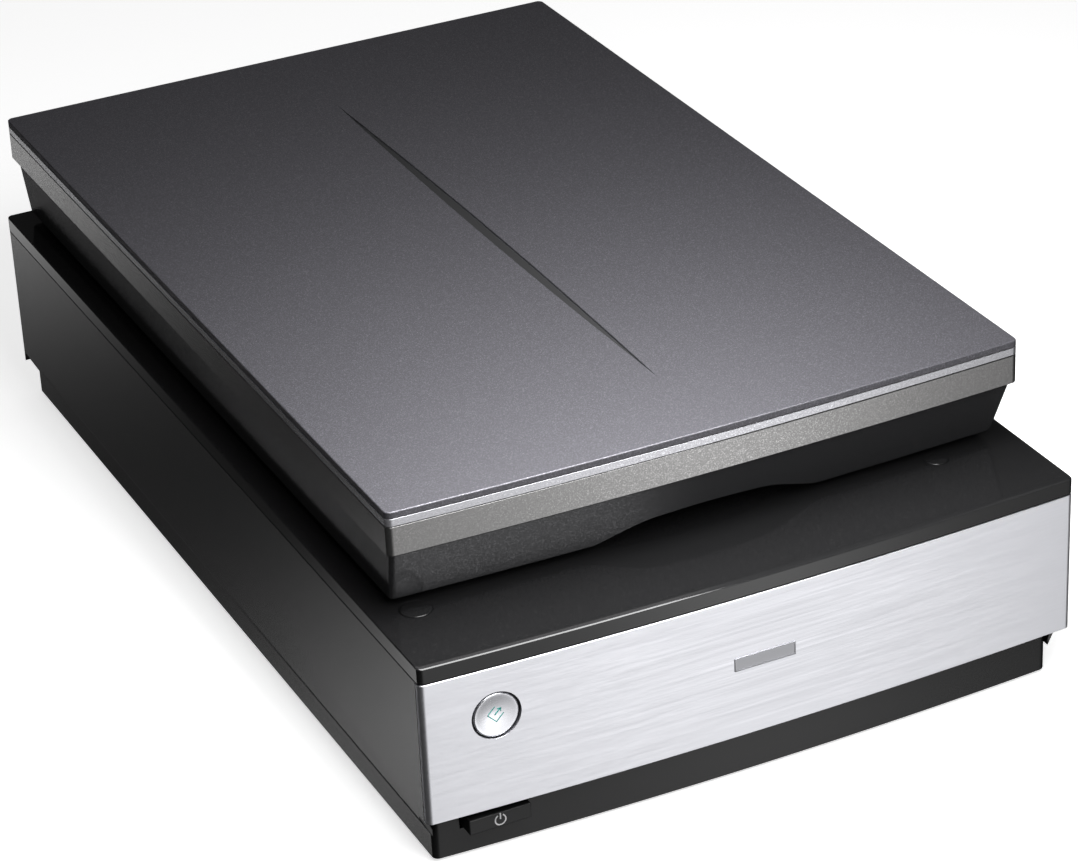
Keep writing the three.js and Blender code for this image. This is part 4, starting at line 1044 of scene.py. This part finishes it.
def build_lid_cover(lid):
    """Tapered lower cover with the finger grip in its front edge."""
    def shell(inset, floor, top):
        stations = [(104.3, 143.8, -198.6, 243.1), (130.3, 146.3, -208.5, 246.2),
                    (132.0, 147.2, -209.9, 248.6)]
        rings = []
        if not inset:
            half, front, rear = stations[0][1:]
            for d, z in rolled(104.3, 130.3, 1.2, 0)[:5]:
                t = (z - 104.3) / 26.0
                rings.append(level(plan((half + 2.5 * t - d) * MM, (front - 9.9 * t + d) * MM,
                                        (rear + 3.1 * t - d) * MM, lid.bow, (3 - d) * MM), z * MM))
            rings += [level(plan(h * MM, f * MM, r * MM, lid.bow, 3 * MM), z * MM)
                      for z, h, f, r in stations[1:]]
        else:
            for z, h, f, r in stations:
                place_z = {104.3: floor, 132.0: top}.get(z, z)
                rings.append(level(plan((h - inset) * MM, (f + inset) * MM, (r - inset) * MM,
                                        lid.bow, 1.5 * MM), place_z * MM))
        return skin("lid_tray", rings)

    body = shell(0.0, 104.3, 132.0)
    cavity = shell(2.5, 106.8, 133.0)
    cut(cavity, block("t", -0.072, 0.072, -0.22, -0.178, 0.1, 0.117))
    section = [(-66 * MM, 0.1), (66 * MM, 0.1)]
    for i in range(65):
        x = 66 * (1 - i / 32)
        ease = min(1, (66 - abs(x)) / 44)
        crown = max(0, 1 - (x / 22) ** 2) * 0.7
        section.append((x * MM, (103 + 9.8 * ease * ease * (3 - 2 * ease) + crown) * MM))
    tools = [cavity, prism("t", section, "Y", -0.23, -0.183)]
    for side in (-1, 1):
        x = side * 0.105
        tools.append(block("t", x - 0.013, x + 0.013, 0.236 - 7.6 * MM, 0.26, 0.09, 0.1256))
    tools.append(block("t", -0.103, 0.103, -0.095, 0.16, 0.09, 0.11))
    tools.append(turned("t", [(8.3 * MM, 0.09), (8.3 * MM, 0.11)], (0.132, -0.12, 0)))
    cut(body, *tools)
    soften(body, 0.4 * MM, 2)
    piece(body, "lid", "sparkle", "matt_black", ["lid_lower_cover"])


# ---- Carried-over pieces and studio ----

CARRIED = {
    "charcoal": ("rear_panel", "carriage_lock", "lid_lock"),
    "black": ("power_inlet", "usb_port", "lid_cable_port", "fascia_carrier", "carriage_housing",
              "lens_high_resolution", "lens_standard", "hinge_post_left", "hinge_post_right",
              "film_lamp_housing"),
    "glass": ("platen_glass",),
    "white": ("calibration_strip", "lid_window", "document_mat"),
    "circuit": ("button_board", "sensor_board"),
    "bronze": ("carriage_bush_front", "carriage_bush_rear", "motor_pinion"),
    "lamp": ("carriage_lamp_front", "carriage_lamp_rear"),
    "mirror": ("carriage_mirror",),
    "steel": ("guide_rod", "drive_motor", "tension_spring", "hinge_pin_left", "hinge_pin_right",
              "film_lamp_rod", "film_lamp_motor"),
    "galvanised": ("slide_rail", "idler_bracket", "hinge_bracket_left", "hinge_bracket_right"),
    "acetal": ("reduction_gear", "idler_pulley", "film_lamp_pulley", "film_lamp_idler"),
    "rubber": ("drive_belt", "film_lamp_belt"),
}


def paint_carried():
    """Gives every CAD node that still shows its finish."""
    for finish, names in CARRIED.items():
        for name in names:
            data = NODES[name].data
            data.materials.clear()
            data.materials.append(MATERIALS[finish])


def soft_lobe(tree, heading, height, spread, strength):
    """Soft patch of light in the surroundings; heading turns from the front to the right."""
    toward = Vector((sin(heading) * cos(height), -cos(heading) * cos(height), sin(height)))
    at = place(tree, "ShaderNodeTexCoord").outputs["Generated"]
    unit = place(tree, "ShaderNodeVectorMath", {0: at}, operation="NORMALIZE").outputs[0]
    facing = place(tree, "ShaderNodeVectorMath", {0: unit, 1: toward},
                   operation="DOT_PRODUCT").outputs["Value"]
    fall = math(tree, "MULTIPLY", math(tree, "SUBTRACT", facing, 1.0), 1.0 / (1.0 - cos(spread)))
    return math(tree, "MULTIPLY", math(tree, "POWER", 2.718, fall), strength)


def build_world(scene, strength):
    """Pale surroundings to look at, and dim light from them with a few soft patches."""
    world = bpy.data.worlds.new("studio")
    scene.world = world
    world.use_nodes = True
    tree = world.node_tree
    total = strength
    for heading, height, spread, bright in SOFT_PATCHES:
        patch = soft_lobe(tree, radians(heading), radians(height), radians(spread), bright)
        total = math(tree, "ADD", patch, total)
    seen = place(tree, "ShaderNodeBackground", {"Color": (0.93, 0.93, 0.93, 1.0), "Strength": 1.0})
    lit = place(tree, "ShaderNodeBackground", {"Color": (1.0, 1.0, 1.0, 1.0), "Strength": total})
    ray = place(tree, "ShaderNodeLightPath").outputs["Is Camera Ray"]
    mix = place(tree, "ShaderNodeMixShader", {0: ray, 1: lit.outputs[0], 2: seen.outputs[0]})
    tree.links.new(mix.outputs[0], tree.nodes["World Output"].inputs["Surface"])


# Heading, height and spread in degrees, and strength, of each soft patch round the object
SOFT_PATCHES = (
    (28, -28, 4.5, 2.5), (20, -20, 22, 1.4), (28, 36, 9, 2.0),
    (195.4, -22.5, 2.6, 1.7), (205, -32.5, 2.2, 2.2),
    (164.6, -22.5, 2.6, 1.7), (155, -32.5, 2.2, 2.2), (155, -12, 20, 0.2),
)


def build_studio(studio):
    """Pale floor, soft lights and the camera."""
    scene = bpy.context.scene
    scene.view_settings.view_transform = "Standard"
    bpy.ops.mesh.primitive_plane_add(size=14)
    floor = bpy.context.object
    floor.name = "floor"
    pale = (0.93, 0.93, 0.93)
    material, tree, shader = surface("Pale floor", pale, 0.7)
    grain = use(tree, "grain", Scale=60.0, Contrast=0.05)
    tree.links.new(blend(tree, grain["Tone"], pale, (0.95, 0.95, 0.95)),
                   shader.inputs["Base Color"])
    shader.inputs["Emission Color"].default_value = (1.0, 1.0, 1.0, 1.0)
    shader.inputs["Emission Strength"].default_value = 0.68
    floor.data.materials.append(material)
    floor.visible_glossy = False
    floor.visible_diffuse = False
    floor.visible_shadow = False
    build_world(scene, studio.sky)
    lights = (
        ("top_box", (0.0, 0.2, 2.4), (0, 0, 0), 3.4, studio.top),
        ("lid_box", (-0.02, -0.2, 0.4), (-0.02, -0.18, 0.1), 0.25, studio.lid),
        ("front_box", (-0.05, -0.42, 0.42), (-0.05, -0.2, 0.13), 0.4, studio.front))
    for name, at, target, size, power in lights:
        data = bpy.data.lights.new(name, "AREA")
        data.size = size
        data.energy = power
        light = bpy.data.objects.new(name, data)
        light.visible_camera = False
        scene.collection.objects.link(light)
        light.location = at
        light.rotation_euler = (Vector(target) - Vector(at)).to_track_quat("-Z", "Y").to_euler()
    aim = Vector((0.0, -0.040056, 0.069798))
    a, e, r = studio.azimuth, studio.elevation, studio.roll
    back_axis = Vector((sin(a) * cos(e), -cos(a) * cos(e), sin(e)))
    right = Vector((0, 0, 1)).cross(back_axis).normalized()
    up = back_axis.cross(right)
    x_axis = right * cos(r) + up * sin(r)
    y_axis = up * cos(r) - right * sin(r)
    data = bpy.data.cameras.new("camera")
    data.lens = studio.lens
    data.sensor_width = 36.0
    camera = bpy.data.objects.new("camera", data)
    scene.collection.objects.link(camera)
    turn = Matrix((x_axis, y_axis, back_axis)).transposed().to_4x4()
    camera.matrix_world = Matrix.Translation(aim + back_axis * studio.distance) @ turn
    scene.camera = camera


# ---- Operators ----

class SCANNER_OT_finishes(Operator):
    """Make the shader groups and finishes"""

    bl_idname = "scanner.finishes"
    bl_label = "Finishes"

    def execute(self, context):
        build_groups()
        build_materials(context.scene.scanner_finish)
        return {"FINISHED"}


class SCANNER_OT_frame(Operator):
    """Build the gloss frame and its two round covers"""

    bl_idname = "scanner.frame"
    bl_label = "Gloss frame"

    def execute(self, context):
        build_frame(context.scene.scanner_case)
        build_caps()
        build_marks(context.scene.scanner_case)
        return {"FINISHED"}


class SCANNER_OT_front(Operator):
    """Build the brushed front, the start button and the power bar"""

    bl_idname = "scanner.front"
    bl_label = "Front and buttons"

    def execute(self, context):
        build_fascia(context.scene.scanner_case)
        build_badge(context.scene.scanner_case)
        build_button()
        build_power()
        return {"FINISHED"}


class SCANNER_OT_body(Operator):
    """Build the side panels, the plinth, the feet and the details of the rear and underside"""

    bl_idname = "scanner.body"
    bl_label = "Sides and plinth"

    def execute(self, context):
        build_sides()
        build_plinth(context.scene.scanner_case)
        build_feet()
        build_underside()
        build_rear()
        return {"FINISHED"}


class SCANNER_OT_lid(Operator):
    """Build the lid's top, bands and lower cover"""

    bl_idname = "scanner.lid"
    bl_label = "Lid"

    def execute(self, context):
        lid = context.scene.scanner_lid
        build_lid_top(lid)
        build_lid_bands(lid)
        build_lid_cover(lid)
        return {"FINISHED"}


class SCANNER_OT_inside(Operator):
    """Finish the inner parts that come from the CAD model and add their details"""

    bl_idname = "scanner.inside"
    bl_label = "Inner parts"

    def execute(self, context):
        paint_carried()
        build_board()
        build_carriage()
        build_lid_inside()
        return {"FINISHED"}


class SCANNER_OT_studio(Operator):
    """Set up the floor, the lights and the camera"""

    bl_idname = "scanner.studio"
    bl_label = "Studio"

    def execute(self, context):
        build_studio(context.scene.scanner_studio)
        return {"FINISHED"}


OPERATORS = (SCANNER_OT_finishes, SCANNER_OT_frame, SCANNER_OT_front, SCANNER_OT_body,
             SCANNER_OT_lid, SCANNER_OT_inside, SCANNER_OT_studio)
SETTINGS = {"scanner_case": CaseSettings, "scanner_lid": LidSettings,
            "scanner_finish": FinishSettings, "scanner_studio": StudioSettings}


class SCANNER_PT_panel(Panel):
    """Lists the operators in the sidebar"""

    bl_label = "Flatbed scanner"
    bl_space_type = "VIEW_3D"
    bl_region_type = "UI"
    bl_category = "Scanner"

    def draw(self, context):
        for operator in OPERATORS:
            self.layout.operator(operator.bl_idname)


def register():
    for cls in (*SETTINGS.values(), *OPERATORS, SCANNER_PT_panel):
        bpy.utils.register_class(cls)
    for name, cls in SETTINGS.items():
        setattr(bpy.types.Scene, name, PointerProperty(type=cls))


def unregister():
    for name in SETTINGS:
        delattr(bpy.types.Scene, name)
    for cls in reversed((*SETTINGS.values(), *OPERATORS, SCANNER_PT_panel)):
        bpy.utils.unregister_class(cls)


def main():
    register()
    bpy.ops.scanner.finishes()
    bpy.ops.scanner.frame()
    bpy.ops.scanner.front()
    bpy.ops.scanner.body()
    bpy.ops.scanner.lid()
    bpy.ops.scanner.inside()
    bpy.ops.scanner.studio()


if __name__ == "__main__":
    main()
